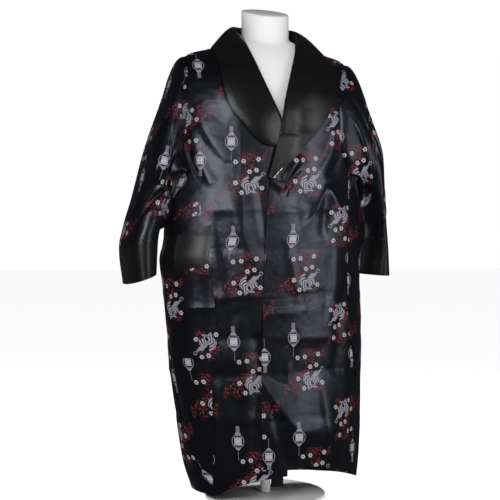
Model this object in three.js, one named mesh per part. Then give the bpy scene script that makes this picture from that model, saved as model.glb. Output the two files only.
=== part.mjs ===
// A kimono-style silk robe on a limbless dress form.
// Millimetres, +Z up, the wearer faces -Y, and the wearer's right side is -X.
// The origin is the centre of the underside of the stand's base.
import * as THREE from 'three';

// Cloth: every piece is a thin wall, and layers and seams keep a little air between them.
const CLOTH = 1.6;
const SEAM_HALF_GAP = 0.25;
const LAYER = 2.5;
const COLLAR_LIFT = 3.3;

// Heights of the robe.
const UNDERARM_Z = 800;
const CHEST_Z = 950;
const BODY_POWER = 2.25;
const FOLDS_END_Z = 900;

// Stand and form.
const BASE_RADIUS = 150;
const BASE_HEIGHT = 9;
const POLE_RADIUS = 13;
const FIT_GAP = 0.3;
const BASE_TAPER = 4;
const NECK_RADIUS = 59;
const NECK_CUT_Z = 1205;
const NECK_CUT_SLOPE = 0.36;
const NECK_FOOT_RADIUS = 60;
const NECK_FOOT_RISE = 1;
const SHOULDER_RING_RADIUS = 64;
const NAPE_DROP = { from: 0.7, drop: 1 };
const FORM_UNDER_CLOTH = 3.3;
const FORM_SIDE_EASE = 3;
const FORM_SHOULDER_POWERS = { across: 7, along: 6 };
const FORM_SHOULDER_RINGS = [0.12, 0.26, 0.42, 0.58, 0.74, 0.88];
const FORM_SIDES = 32;
const FORM_LEVELS = [
  { z: 520, half: 120, front: 86, back: 88 },
  { z: 535, half: 158, front: 104, back: 106 },
  { z: 620, half: 172, front: 108, back: 112 },
  { z: 720, half: 160, front: 100, back: 102 },
  { z: 800, half: 146, front: 98, back: 92 },
  { z: 880, half: 160, front: 104, back: 96 },
  { z: 960, half: 180, front: 104, back: 98 },
  { z: 1000, half: 186, front: 102, back: 96 },
];

// Level sections of the robe's body: centre, half width, and depth before and behind the axis.
const SECTIONS = [
  { z: 20, centre: 25, half: 208, front: 128, back: 120 },
  { z: 100, centre: 17, half: 225, front: 130, back: 124 },
  { z: 246, centre: 10, half: 239, front: 133, back: 128 },
  { z: 393, centre: 3, half: 247, front: 135, back: 130 },
  { z: 510, centre: -5, half: 249, front: 135, back: 130 },
  { z: 588, centre: -9, half: 256, front: 134, back: 129 },
  { z: 650, centre: 2, half: 257, front: 133, back: 127 },
  { z: 719, centre: 1, half: 248, front: 131, back: 123 },
  { z: 800, centre: -1, half: 236, front: 128, back: 118 },
  { z: 950, centre: 0, half: 234, front: 124, back: 114 },
];

// Top line of the shoulders, by distance from the middle.
const RIDGE = [
  { x: 0, z: 1150 },
  { x: 62, z: 1139 },
  { x: 110, z: 1118 },
  { x: 150, z: 1105 },
  { x: 190, z: 1094 },
  { x: 212, z: 1080 },
  { x: 235, z: 1055 },
];

// Side seams, as the X where each one lies on the front half of the body.
const SIDE_SEAMS = [
  { z: 30, right: -155, left: 228 },
  { z: 131, right: -156, left: 231 },
  { z: 234, right: -159, left: 225 },
  { z: 337, right: -166, left: 206 },
  { z: 426, right: -174, left: 186 },
  { z: 588, right: -188, left: 183 },
  { z: 724, right: -186, left: 184 },
  { z: 800, right: -205, left: 192 },
];

// Free edges of the two fronts, and where they run on under the collar.
const FRONT_EDGES = [
  { z: 30, under: 17, over: -42 },
  { z: 304, under: 17, over: -49 },
  { z: 494, under: 17, over: -45 },
  { z: 659, under: 17, over: -38 },
  { z: 778, under: 16, over: -25 },
  { z: 816, under: 15, over: -6 },
  { z: 850, under: 12, over: 5 },
  { z: 886, under: 2, over: 13 },
  { z: 930, under: -15, over: 20 },
  { z: 950, under: -24, over: 23 },
];
const NECK_HALF_WIDTH = 82;
const BACK_NECK_DROP = 36;
const SHOULDER_END = { right: -205, left: 208 };

// Armholes: X on the fronts, and angle round from the middle of the front on the back.
const ARMHOLES = [
  { z: 800, frontRight: -205, frontLeft: 192, back: 56 },
  { z: 825, frontRight: -214, frontLeft: 180, back: 78 },
  { z: 860, frontRight: -219, frontLeft: 166, back: 97 },
  { z: 900, frontRight: -217, frontLeft: 160, back: 108 },
  { z: 950, frontRight: -211, frontLeft: 158, back: 114 },
];

// Height of the hem round the body, by angle from the middle of the front.
const HEM_UNDER = [
  { angle: -180, z: 32 },
  { angle: -90, z: 29 },
  { angle: -52, z: 27 },
  { angle: -40, z: 42 },
  { angle: -30, z: 53 },
  { angle: -14, z: 65 },
  { angle: 5, z: 75 },
];
const HEM_OVER = [
  { angle: -20, z: 90 },
  { angle: 14, z: 92 },
  { angle: 36, z: 75 },
  { angle: 60, z: 55 },
  { angle: 85, z: 38 },
  { angle: 110, z: 33 },
  { angle: 180, z: 32 },
];

// Large soft folds of the body: place, half sizes, depth (ridges plus, troughs minus) and slant.
const BODY_FOLDS = [
  { angle: -112, z: 300, wide: 11, tall: 260, deep: 7, slant: 2 },
  { angle: -135, z: 350, wide: 9, tall: 300, deep: -8, slant: 1 },
  { angle: -154, z: 280, wide: 11, tall: 290, deep: 8, slant: -1 },
  { angle: 176, z: 330, wide: 9, tall: 320, deep: -8, slant: 0 },
  { angle: 152, z: 260, wide: 11, tall: 260, deep: 9, slant: 1 },
  { angle: 130, z: 340, wide: 9, tall: 300, deep: -7, slant: -2 },
  { angle: 108, z: 280, wide: 11, tall: 260, deep: 6, slant: -1 },
  { angle: 62, z: 210, wide: 10, tall: 190, deep: -6, slant: 5 },
  { angle: 22, z: 130, wide: 12, tall: 130, deep: 5, slant: 1 },
  { angle: -30, z: 200, wide: 10, tall: 170, deep: 5, slant: -2 },
  { angle: 33, z: 735, wide: 9, tall: 60, deep: 6, slant: -12 },
  { angle: 14, z: 700, wide: 8, tall: 55, deep: -6, slant: -10 },
];

// Sleeves: outer line, inner line, and reach before and behind, from armhole to hem.
const SLEEVE_RIGHT = [
  { s: 0, outX: -205, outZ: 1085, inX: -236, inZ: 806, front: -66, back: 50 },
  { s: 0.15, outX: -234, outZ: 1048, inX: -250, inZ: 776, front: -86, back: 72 },
  { s: 0.35, outX: -267, outZ: 962, inX: -259, inZ: 735, front: -95, back: 86 },
  { s: 0.55, outX: -303, outZ: 858, inX: -265, inZ: 700, front: -100, back: 92 },
  { s: 0.75, outX: -331, outZ: 748, inX: -270, inZ: 668, front: -97, back: 94 },
  { s: 1, outX: -364, outZ: 618, inX: -275, inZ: 638, front: -93, back: 92 },
  { s: 1.33, outX: -354, outZ: 530, inX: -280, inZ: 556, front: -95, back: 94 },
];
const SLEEVE_LEFT = [
  { s: 0, outX: 208, outZ: 1085, inX: 234, inZ: 806, front: -70, back: 50 },
  { s: 0.15, outX: 233, outZ: 1040, inX: 249, inZ: 776, front: -88, back: 76 },
  { s: 0.35, outX: 262, outZ: 958, inX: 258, inZ: 735, front: -94, back: 94 },
  { s: 0.55, outX: 288, outZ: 874, inX: 265, inZ: 700, front: -96, back: 104 },
  { s: 0.75, outX: 296, outZ: 762, inX: 270, inZ: 668, front: -94, back: 110 },
  { s: 1, outX: 308, outZ: 630, inX: 268, inZ: 640, front: -90, back: 114 },
  { s: 1.33, outX: 317, outZ: 546, inX: 258, inZ: 556, front: -86, back: 116 },
];
const SLEEVE_POWER = 2.2;
const SLEEVE_BLEND_END = 0.3;
const SLEEVE_ROW_SPREAD = 1.15;
const ARMHOLE_SEAM = 1;
const ARMHOLE_LIFT = 150;
const ARMHOLE_OVAL = { half: 236, deep: 128 };
const UNDERARM_EASE = 16;
const UNDERARM_EASE_END = 0.42;
const UNDERARM_EASE_POWER = 0.7;
const CUFF_START = 1;
const CUFF_END = 1.33;

// Large folds of the sleeves, by place along (s) and round (turn, 0 outer, 90 front, 180 inner).
const SLEEVE_FOLDS = {
  right: [
    { s: 0.72, turn: 75, along: 0.13, round: 55, deep: -14, slant: -0.004 },
    { s: 0.5, turn: 80, along: 0.1, round: 55, deep: 7, slant: -0.004 },
    { s: 0.25, turn: 95, along: 0.09, round: 40, deep: -7, slant: 0.003 },
    { s: 0.6, turn: 265, along: 0.12, round: 55, deep: -9, slant: 0.004 },
  ],
  left: [
    { s: 0.62, turn: 70, along: 0.3, round: 16, deep: -12, slant: 0 },
    { s: 0.35, turn: 110, along: 0.1, round: 40, deep: -6, slant: 0.003 },
    { s: 0.65, turn: 262, along: 0.12, round: 50, deep: -9, slant: 0.004 },
  ],
};

// Collar on the chest, from the tip upward: fold line and outer edge.
const LAPEL_RIGHT = [
  { rollX: 12, rollZ: 868, edgeX: 5, edgeZ: 857 },
  { rollX: 7, rollZ: 898, edgeX: -34, edgeZ: 861 },
  { rollX: -1, rollZ: 930, edgeX: -64, edgeZ: 883 },
  { rollX: -16, rollZ: 962, edgeX: -91, edgeZ: 915 },
  { rollX: -31, rollZ: 994, edgeX: -117, edgeZ: 948 },
  { rollX: -43, rollZ: 1022, edgeX: -129, edgeZ: 988 },
  { rollX: -57, rollZ: 1062, edgeX: -136, edgeZ: 1028 },
  { rollX: -68, rollZ: 1103, edgeX: -139, edgeZ: 1062 },
];
const LAPEL_LEFT = [
  { rollX: -29, rollZ: 784, edgeX: -22, edgeZ: 779 },
  { rollX: -19, rollZ: 818, edgeX: 4, edgeZ: 807 },
  { rollX: -10, rollZ: 852, edgeX: 36, edgeZ: 834 },
  { rollX: -2, rollZ: 886, edgeX: 66, edgeZ: 865 },
  { rollX: 6, rollZ: 928, edgeX: 97, edgeZ: 898 },
  { rollX: 12, rollZ: 962, edgeX: 124, edgeZ: 935 },
  { rollX: 26, rollZ: 1014, edgeX: 150, edgeZ: 985 },
  { rollX: 36, rollZ: 1046, edgeX: 162, edgeZ: 1012 },
  { rollX: 51, rollZ: 1086, edgeX: 166, edgeZ: 1046 },
];
// Collar round the neck, half of it: fold line in space, outer edge and foot on the shoulders.
const NECK_COLLAR = [
  { rollX: 77, rollY: -27, rollZ: 1144, edgeX: 142, edgeY: -50, footX: 68, footY: -28 },
  { rollX: 81, rollY: 2, rollZ: 1161, edgeX: 140, edgeY: -10, footX: 72, footY: 2 },
  { rollX: 73, rollY: 36, rollZ: 1173, edgeX: 129, edgeY: 30, footX: 63, footY: 33 },
  { rollX: 51, rollY: 63, rollZ: 1178, edgeX: 97, edgeY: 62, footX: 44, footY: 55 },
  { rollX: 26, rollY: 77, rollZ: 1180, edgeX: 51, edgeY: 80, footX: 23, footY: 67 },
  { rollX: 0.3, rollY: 81, rollZ: 1180, edgeX: 0.3, edgeY: 86, footX: 0.3, footY: 71 },
];
const COLLAR_FOOT_LIFT = 5;
const COLLAR_ROLL_TUCK = 3;
const LAPEL_CROSSING = { start: 750, low: 800, high: 940, end: 980, closed: 1010 };
const CROSSING_LIFT = { lift: 3.4, inner: 34, outer: 78 };
const COLLAR_FALL = [0.06, 0.3, 0.55, 0.8, 1];
const COLLAR_STAND = 0.55;
const NECK_ARCH = { height: 7, peak: 0.6, out: 0.7, up: 0.5 };

// Pocket on the right hip, between two angles round the body.
const POCKET = { rear: -80, topFront: -38, lowFront: -34, bottomZ: 355, lift: 3 };
const POCKET_TOP = { rearZ: 633, frontZ: 672 };
const BAND_HEIGHT = 92;

// Inner tie that hangs inside the right front.
const TIE = { x: -6, width: 30, topZ: 560, endZ: 47, topInside: 2.3, endInside: 8, thickness: 1.2 };

// Grid sizes.
const BODY_ROWS = { skirt: 14, armhole: 4, shoulder: 8 };
const BACK_COLUMNS = 30;
const FRONT_COLUMNS = 10;
const SLEEVE_ROWS = 14;
const CUFF_ROWS = 4;
const COLLAR_ROWS = 30;

const WHITE_FORM = new THREE.MeshStandardMaterial({ color: 0xe9e8e4, roughness: 0.6, metalness: 0 });
const STAND = new THREE.MeshStandardMaterial({ color: 0xf0efec, roughness: 0.45, metalness: 0 });
const BROCADE = new THREE.MeshStandardMaterial({ color: 0x1c1e26, roughness: 0.36, metalness: 0 });
const SATIN = new THREE.MeshStandardMaterial({ color: 0x0c0c0e, roughness: 0.3, metalness: 0 });

const { degToRad, lerp, smoothstep, clamp } = THREE.MathUtils;
const point = (x, y, z) => new THREE.Vector3(x, y, z);
const mix = (from, to, part) => from.clone().lerp(to, part);

// Smooth reading of a table without overshoot.
function read(rows, by, at, name) {
  const last = rows.length - 1;
  if (at <= rows[0][by]) return rows[0][name];
  if (at >= rows[last][by]) return rows[last][name];
  const i = rows.findIndex((row) => row[by] > at) - 1;
  const secant = (k) => (rows[k + 1][name] - rows[k][name]) / (rows[k + 1][by] - rows[k][by]);
  const slope = (k) => {
    if (k === 0) return secant(0);
    if (k === last) return secant(last - 1);
    const before = secant(k - 1);
    const after = secant(k);
    return before * after <= 0 ? 0 : (2 * before * after) / (before + after);
  };
  const span = rows[i + 1][by] - rows[i][by];
  const u = (at - rows[i][by]) / span;
  const rise = rows[i + 1][name] - rows[i][name];
  const m0 = slope(i) * span;
  const m1 = slope(i + 1) * span;
  return rows[i][name] + u * (m0 + u * (3 * rise - 2 * m0 - m1 + u * (m0 + m1 - 2 * rise)));
}

const power = (value, exponent) => Math.sign(value) * Math.abs(value) ** exponent;
const turnFrom = (angle, from) => THREE.MathUtils.euclideanModulo(angle - from + 180, 360) - 180;

function foldDepth(angle, z) {
  let depth = 0;
  for (const fold of BODY_FOLDS) {
    const up = z - fold.z;
    const off = turnFrom(angle, fold.angle + fold.slant * up / 100);
    depth += fold.deep * Math.exp(-((off / fold.wide) ** 2) - (up / fold.tall) ** 2);
  }
  return depth;
}

// A point of the robe's body below the chest line: angle in degrees from the front, height.
function bodyPoint(angle, z, out = 0) {
  const centre = read(SECTIONS, 'z', z, 'centre');
  const half = read(SECTIONS, 'z', z, 'half');
  const sine = Math.sin(degToRad(angle));
  const cosine = Math.cos(degToRad(angle));
  const depth = read(SECTIONS, 'z', z, cosine > 0 ? 'front' : 'back');
  const across = half * power(sine, 2 / BODY_POWER);
  const along = -depth * power(cosine, 2 / BODY_POWER);
  const lean = 2 - 2 / BODY_POWER;
  const facing = point(power(sine, lean) / half, -power(cosine, lean) / depth, 0);
  const fold = foldDepth(angle, z) * (1 - smoothstep(z, UNDERARM_Z, FOLDS_END_Z));
  facing.normalize().multiplyScalar(fold + out);
  return point(centre + across, along, z).add(facing);
}

function angleAtX(x, z) {
  const reach = (x - read(SECTIONS, 'z', z, 'centre')) / read(SECTIONS, 'z', z, 'half');
  return THREE.MathUtils.radToDeg(Math.asin(clamp(power(reach, BODY_POWER / 2), -1, 1)));
}

const ridgeZ = (x) => read(RIDGE, 'x', Math.abs(x), 'z');

function chestDepth(x, side) {
  const section = SECTIONS[SECTIONS.length - 1];
  const reach = Math.min(1, Math.abs(x / section.half));
  return section[side] * (1 - reach ** BODY_POWER) ** (1 / BODY_POWER);
}

// A point over the shoulders: rise 0 is the chest line in front, 90 the ridge, 180 behind.
function shoulderPoint(x, rise) {
  const depth = chestDepth(x, rise < 90 ? 'front' : 'back');
  const angle = degToRad(rise);
  return point(x, -depth * Math.cos(angle), CHEST_Z + (ridgeZ(x) - CHEST_Z) * Math.sin(angle));
}

// The front of the robe as a height map, and the top of the shoulders as another.
function frontPoint(x, z) {
  if (z <= CHEST_Z) return bodyPoint(angleAtX(x, z), z);
  const rise = Math.asin(clamp((z - CHEST_Z) / (ridgeZ(x) - CHEST_Z), 0, 1));
  return shoulderPoint(x, THREE.MathUtils.radToDeg(rise));
}
function topPoint(x, y) {
  const depth = chestDepth(x, y < 0 ? 'front' : 'back');
  const height = Math.sqrt(Math.max(0, 1 - (y / depth) ** 2));
  return point(x, y, CHEST_Z + (ridgeZ(x) - CHEST_Z) * height);
}
function raised(place, a, b, out) {
  const step = 1;
  const here = place(a, b);
  const alongA = place(a + step, b).sub(place(a - step, b));
  const alongB = place(a, b + step).sub(place(a, b - step));
  const normal = alongA.cross(alongB).normalize();
  return here.addScaledVector(normal, out);
}
const onFront = (x, z, out) => raised(frontPoint, x, z, out);
const onTop = (x, y, out) => raised(topPoint, x, y, out);

// Direction along a line of points, true to its curve at both ends as well.
function slopeAlong(at, k, count) {
  if (k > 0 && k < count - 1) return at(k + 1).clone().sub(at(k - 1));
  const step = k === 0 ? 1 : -1;
  const end = at(k);
  const near = at(k + step).clone().sub(end);
  if (count < 3) return near.multiplyScalar(step);
  const far = at(k + 2 * step).clone().sub(end);
  return near.multiplyScalar(4).sub(far).multiplyScalar(step);
}

// A closed wall from the grid of its outer face. A ring's columns close on themselves.
function wall(rows, { ring = false, thickness = CLOTH, inward = 1 } = {}) {
  const count = rows.length;
  const width = rows[0].length;
  const wrapped = (j) => (ring ? (j + width) % width : clamp(j, 0, width - 1));
  const normalAt = (i, j) => {
    const up = slopeAlong((k) => rows[k][j], i, count);
    const across = ring
      ? rows[i][wrapped(j + 1)].clone().sub(rows[i][wrapped(j - 1)])
      : slopeAlong((k) => rows[i][k], j, width);
    return across.cross(up).normalize().multiplyScalar(inward);
  };
  const positions = [];
  for (const row of rows) for (const p of row) positions.push(p.x, p.y, p.z);
  for (let i = 0; i < count; i += 1) {
    for (let j = 0; j < width; j += 1) {
      const p = rows[i][j].clone().addScaledVector(normalAt(i, j), -thickness);
      positions.push(p.x, p.y, p.z);
    }
  }
  const inner = count * width;
  const at = (i, j) => i * width + wrapped(j);
  const index = [];
  const quad = (a, b, c, d) => index.push(a, b, c, a, c, d);
  const columns = ring ? width : width - 1;
  for (let i = 0; i < count - 1; i += 1) {
    for (let j = 0; j < columns; j += 1) {
      quad(at(i, j), at(i, j + 1), at(i + 1, j + 1), at(i + 1, j));
      quad(inner + at(i, j), inner + at(i + 1, j), inner + at(i + 1, j + 1), inner + at(i, j + 1));
    }
  }
  for (let j = 0; j < columns; j += 1) {
    const top = count - 1;
    quad(at(0, j), inner + at(0, j), inner + at(0, j + 1), at(0, j + 1));
    quad(at(top, j), at(top, j + 1), inner + at(top, j + 1), inner + at(top, j));
  }
  if (!ring) {
    const end = width - 1;
    for (let i = 0; i < count - 1; i += 1) {
      quad(at(i, 0), at(i + 1, 0), inner + at(i + 1, 0), inner + at(i, 0));
      quad(at(i, end), inner + at(i, end), inner + at(i + 1, end), at(i + 1, end));
    }
  }
  return solid(positions, index);
}

// A closed geometry with its faces pointing out.
function solid(positions, index) {
  const corner = (k) => point(positions[3 * k], positions[3 * k + 1], positions[3 * k + 2]);
  let volume = 0;
  for (let k = 0; k < index.length; k += 3) {
    volume += corner(index[k]).dot(corner(index[k + 1]).cross(corner(index[k + 2])));
  }
  if (volume < 0) {
    for (let k = 0; k < index.length; k += 3) {
      [index[k + 1], index[k + 2]] = [index[k + 2], index[k + 1]];
    }
  }
  const geometry = new THREE.BufferGeometry();
  geometry.setAttribute('position', new THREE.Float32BufferAttribute(positions, 3));
  geometry.setIndex(index);
  geometry.computeVertexNormals();
  return geometry;
}

// Edges drawn back a little, so that seams stay open by a hair.
function drawBack(rows, { first = false, last = false, top = false }) {
  const pull = (p, towards) => p.addScaledVector(towards.clone().sub(p).normalize(), SEAM_HALF_GAP);
  for (const row of rows) {
    if (first) pull(row[0], row[1]);
    if (last) pull(row[row.length - 1], row[row.length - 2]);
  }
  const end = rows.length - 1;
  if (top) rows[end].forEach((p, j) => pull(p, rows[end - 1][j]));
  return rows;
}

// How far the left front and its collar stand off the body where they cross the right side.
function overLift(x, z) {
  const cross = LAPEL_CROSSING;
  const near = 1 - smoothstep(x, CROSSING_LIFT.inner, CROSSING_LIFT.outer);
  const level = smoothstep(z, cross.start, cross.low) * (1 - smoothstep(z, cross.high, cross.end));
  const closed = 1 - smoothstep(z, CHEST_Z, cross.closed);
  return near * (LAYER * closed + CROSSING_LIFT.lift * level);
}

// One of the two fronts. Columns run from the side to the free edge.
function frontRows(side) {
  const right = side === 'right';
  const edgeName = right ? 'under' : 'over';
  const hem = right ? HEM_UNDER : HEM_OVER;
  const armName = right ? 'frontRight' : 'frontLeft';
  const sideSign = right ? -1 : 1;
  const lifted = (p, x) => (right ? p : p.add(point(0, -overLift(x, p.z), 0)));
  const rows = [];
  const share = (j) => j / (FRONT_COLUMNS - 1);
  const row = (make) => rows.push(Array.from({ length: FRONT_COLUMNS }, (_, j) => make(share(j))));
  const bodyRow = (height, sideX) => row((w) => {
    let angle = 0;
    let z = height(0);
    for (let pass = 0; pass < 3; pass += 1) {
      const from = angleAtX(sideX(z), z);
      const to = angleAtX(read(FRONT_EDGES, 'z', z, edgeName), z);
      angle = lerp(from, to, w);
      z = height(angle);
    }
    const p = bodyPoint(angle, z);
    return lifted(p, p.x);
  });
  for (let i = 0; i < BODY_ROWS.skirt; i += 1) {
    const up = i / BODY_ROWS.skirt;
    bodyRow(
      (angle) => lerp(read(hem, 'angle', angle, 'z'), UNDERARM_Z, up),
      (z) => read(SIDE_SEAMS, 'z', z, side),
    );
  }
  for (let i = 0; i < BODY_ROWS.armhole; i += 1) {
    const z = lerp(UNDERARM_Z, CHEST_Z, i / BODY_ROWS.armhole);
    bodyRow(() => z, () => read(ARMHOLES, 'z', z, armName));
  }
  const armX = read(ARMHOLES, 'z', CHEST_Z, armName);
  const edgeX = read(FRONT_EDGES, 'z', CHEST_Z, edgeName);
  for (let i = 0; i <= BODY_ROWS.shoulder; i += 1) {
    const rise = 90 * i / BODY_ROWS.shoulder;
    row((w) => {
      const from = angleAtX(armX, CHEST_Z);
      const to = angleAtX(edgeX, CHEST_Z);
      const startX = bodyPoint(lerp(from, to, w), CHEST_Z).x;
      const part = (startX - armX) / (edgeX - armX);
      const endX = lerp(SHOULDER_END[side], sideSign * NECK_HALF_WIDTH, part);
      const climb = Math.sin(degToRad(rise)) ** lerp(2, 1, part);
      const x = lerp(startX, endX, climb);
      return lifted(shoulderPoint(x, rise), x);
    });
  }
  return rows;
}

// The back, from the left side seam round behind to the right one.
function backRows() {
  const rows = [];
  const hemZ = (angle) => {
    const turned = turnFrom(angle, 0);
    return read(turned < 0 ? HEM_UNDER : HEM_OVER, 'angle', turned, 'z');
  };
  const share = (j) => j / (BACK_COLUMNS - 1);
  const row = (make) => rows.push(Array.from({ length: BACK_COLUMNS }, (_, j) => make(share(j))));
  for (let i = 0; i < BODY_ROWS.skirt; i += 1) {
    const up = i / BODY_ROWS.skirt;
    row((w) => {
      let angle = 180;
      let z = UNDERARM_Z;
      for (let pass = 0; pass < 3; pass += 1) {
        z = lerp(hemZ(angle), UNDERARM_Z, up);
        const left = angleAtX(read(SIDE_SEAMS, 'z', z, 'left'), z);
        const right = 360 + angleAtX(read(SIDE_SEAMS, 'z', z, 'right'), z);
        angle = lerp(left, right, w);
      }
      return bodyPoint(angle, z);
    });
  }
  const backAngles = (z) => {
    const start = ARMHOLES[0];
    const end = ARMHOLES[ARMHOLES.length - 1].back;
    const bottomLeft = angleAtX(start.frontLeft, start.z);
    const bottomRight = angleAtX(start.frontRight, start.z);
    const part = (read(ARMHOLES, 'z', z, 'back') - start.back) / (end - start.back);
    return { left: lerp(bottomLeft, end, part), right: 360 + lerp(bottomRight, -end, part) };
  };
  for (let i = 0; i < BODY_ROWS.armhole; i += 1) {
    const z = lerp(UNDERARM_Z, CHEST_Z, i / BODY_ROWS.armhole);
    const ends = backAngles(z);
    row((w) => bodyPoint(lerp(ends.left, ends.right, w), z));
  }
  const ends = backAngles(CHEST_Z);
  const fromX = bodyPoint(ends.left, CHEST_Z).x;
  const toX = bodyPoint(ends.right, CHEST_Z).x;
  for (let i = 0; i <= BODY_ROWS.shoulder; i += 1) {
    const up = i / BODY_ROWS.shoulder;
    row((w) => {
      const startX = bodyPoint(lerp(ends.left, ends.right, w), CHEST_Z).x;
      const part = (startX - fromX) / (toX - fromX);
      const endX = lerp(SHOULDER_END.left, SHOULDER_END.right, part);
      const climb = Math.sin(degToRad(90 * up)) ** 2;
      const neck = Math.max(0, 1 - (endX / NECK_HALF_WIDTH) ** 2);
      const topRise = 90 + BACK_NECK_DROP * neck;
      return shoulderPoint(lerp(startX, endX, climb), lerp(180, topRise, up));
    });
  }
  return rows;
}

// The armhole loop: top of the shoulder, down the front, underarm, up the back.
function armholeLoop(front, back, side) {
  const first = BODY_ROWS.skirt;
  const last = front.length - 1;
  const backEdge = side === 'right' ? BACK_COLUMNS - 1 : 0;
  const loop = [mix(front[last][0], back[last][backEdge], 0.5)];
  for (let i = last - 1; i > first; i -= 1) loop.push(front[i][0]);
  loop.push(mix(front[first][0], back[first][backEdge], 0.5));
  for (let i = first + 1; i < last; i += 1) loop.push(back[i][backEdge]);
  const count = loop.length;
  const centre = loop.reduce((sum, p) => sum.add(p), point(0, 0, 0)).divideScalar(count);
  return loop.map((p, j) => {
    const along = loop[(j + 1) % count].clone().sub(loop[(j + count - 1) % count]).normalize();
    const inside = centre.clone().sub(p);
    inside.addScaledVector(along, -inside.dot(along)).normalize();
    return p.clone().addScaledVector(inside, ARMHOLE_SEAM);
  });
}

function sleeveFold(side, s, turn) {
  let depth = 0;
  for (const fold of SLEEVE_FOLDS[side]) {
    const round = turnFrom(turn, fold.turn);
    const off = s - fold.s - fold.slant * round;
    depth += fold.deep * Math.exp(-((off / fold.along) ** 2) - (round / fold.round) ** 2);
  }
  return depth;
}

// A ring of a sleeve at s, in step with the armhole loop.
function sleeveRing(side, table, loop, s) {
  const value = (name) => read(table, 's', s, name);
  const outer = point(value('outX'), 0, value('outZ'));
  const inner = point(value('inX'), 0, value('inZ'));
  const centre = mix(outer, inner, 0.5);
  const reach = outer.clone().sub(inner).multiplyScalar(0.5);
  const blend = smoothstep(s, 0, SLEEVE_BLEND_END);
  return loop.map((start, j) => {
    const turn = 360 * j / loop.length;
    const angle = degToRad(turn);
    const depth = sleeveFold(side, s, turn);
    const sine = Math.sin(angle);
    const half = Math.abs(value(sine > 0 ? 'front' : 'back'));
    const free = centre.clone().addScaledVector(reach, power(Math.cos(angle), 2 / SLEEVE_POWER));
    free.y -= power(sine, 2 / SLEEVE_POWER) * half + Math.sign(sine) * depth;
    const low = Math.max(0, -Math.cos(angle)) ** UNDERARM_EASE_POWER;
    const away = point(start.x / ARMHOLE_OVAL.half ** 2, start.y / ARMHOLE_OVAL.deep ** 2, 0).normalize();
    const lift = ARMHOLE_LIFT * s * (1 - blend);
    const ease = UNDERARM_EASE * low * Math.sin(Math.PI * Math.min(1, s / UNDERARM_EASE_END));
    return mix(start, free, blend).addScaledVector(away, lift + ease);
  });
}

function sleeveRows(side, table, loop) {
  const rows = [loop];
  for (let i = 1; i <= SLEEVE_ROWS; i += 1) {
    rows.push(sleeveRing(side, table, loop, CUFF_START * (i / SLEEVE_ROWS) ** SLEEVE_ROW_SPREAD));
  }
  return rows;
}

function cuffRows(side, table, loop) {
  const rows = [];
  for (let i = 0; i <= CUFF_ROWS; i += 1) {
    rows.push(sleeveRing(side, table, loop, lerp(CUFF_START, CUFF_END, i / CUFF_ROWS)));
  }
  return rows;
}

// Half of the shawl collar. Columns: foot, stand, fold, then the fall to the outer edge.
function collarRows(side) {
  const right = side === 'right';
  const sign = right ? -1 : 1;
  const lift = (x, z) => COLLAR_LIFT + (right ? 0 : overLift(x, z));
  const stations = [];
  for (const line of right ? LAPEL_RIGHT : LAPEL_LEFT) {
    const along = (part) => {
      const x = lerp(line.rollX, line.edgeX, part);
      const z = lerp(line.rollZ, line.edgeZ, part);
      return onFront(x, z, lift(x, z));
    };
    const width = Math.hypot(line.edgeX - line.rollX, line.edgeZ - line.rollZ);
    const tuck = COLLAR_ROLL_TUCK / width;
    stations.push([along(-tuck), along(-tuck / 2), along(0), ...COLLAR_FALL.map(along)]);
  }
  for (const line of NECK_COLLAR) {
    const roll = point(sign * line.rollX, line.rollY, line.rollZ);
    const edge = onTop(sign * line.edgeX, line.edgeY, COLLAR_LIFT);
    const foot = topPoint(sign * line.footX, line.footY).add(point(0, 0, COLLAR_FOOT_LIFT));
    const outward = edge.clone().sub(roll).setZ(0).normalize();
    const arch = (part) => {
      const bulge = NECK_ARCH.height * Math.sin(Math.PI * part ** NECK_ARCH.peak);
      const up = point(0, 0, bulge * NECK_ARCH.up);
      return mix(roll, edge, part).addScaledVector(outward, bulge * NECK_ARCH.out).add(up);
    };
    stations.push([foot, mix(foot, roll, COLLAR_STAND), roll, ...COLLAR_FALL.map(arch)]);
  }
  const curves = stations[0].map((_, j) => new THREE.CatmullRomCurve3(stations.map((line) => line[j])));
  const rows = [];
  for (let i = 0; i <= COLLAR_ROWS; i += 1) {
    rows.push(curves.map((curve) => curve.getPoint(i / COLLAR_ROWS)));
  }
  return rows;
}

function pocketRows(low, high, count) {
  const columns = 8;
  const rows = [];
  for (let i = 0; i <= count; i += 1) {
    const row = [];
    for (let j = 0; j < columns; j += 1) {
      const part = j / (columns - 1);
      const z = lerp(low(part), high(part), i / count);
      const up = (z - POCKET.bottomZ) / (POCKET_TOP.frontZ - POCKET.bottomZ);
      const angle = lerp(POCKET.rear, lerp(POCKET.lowFront, POCKET.topFront, up), part);
      row.push(bodyPoint(angle, z, POCKET.lift));
    }
    rows.push(row);
  }
  return rows;
}

function tieRows() {
  const rows = [];
  const count = 6;
  for (let i = 0; i <= count; i += 1) {
    const z = lerp(TIE.endZ, TIE.topZ, i / count);
    const inside = lerp(TIE.endInside, TIE.topInside, i / count);
    rows.push([-0.5, 0, 0.5].map((part) => {
      const x = TIE.x + TIE.width * part;
      return bodyPoint(angleAtX(x, z), Math.max(z, 60), -inside).setZ(z);
    }));
  }
  return rows;
}

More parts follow.
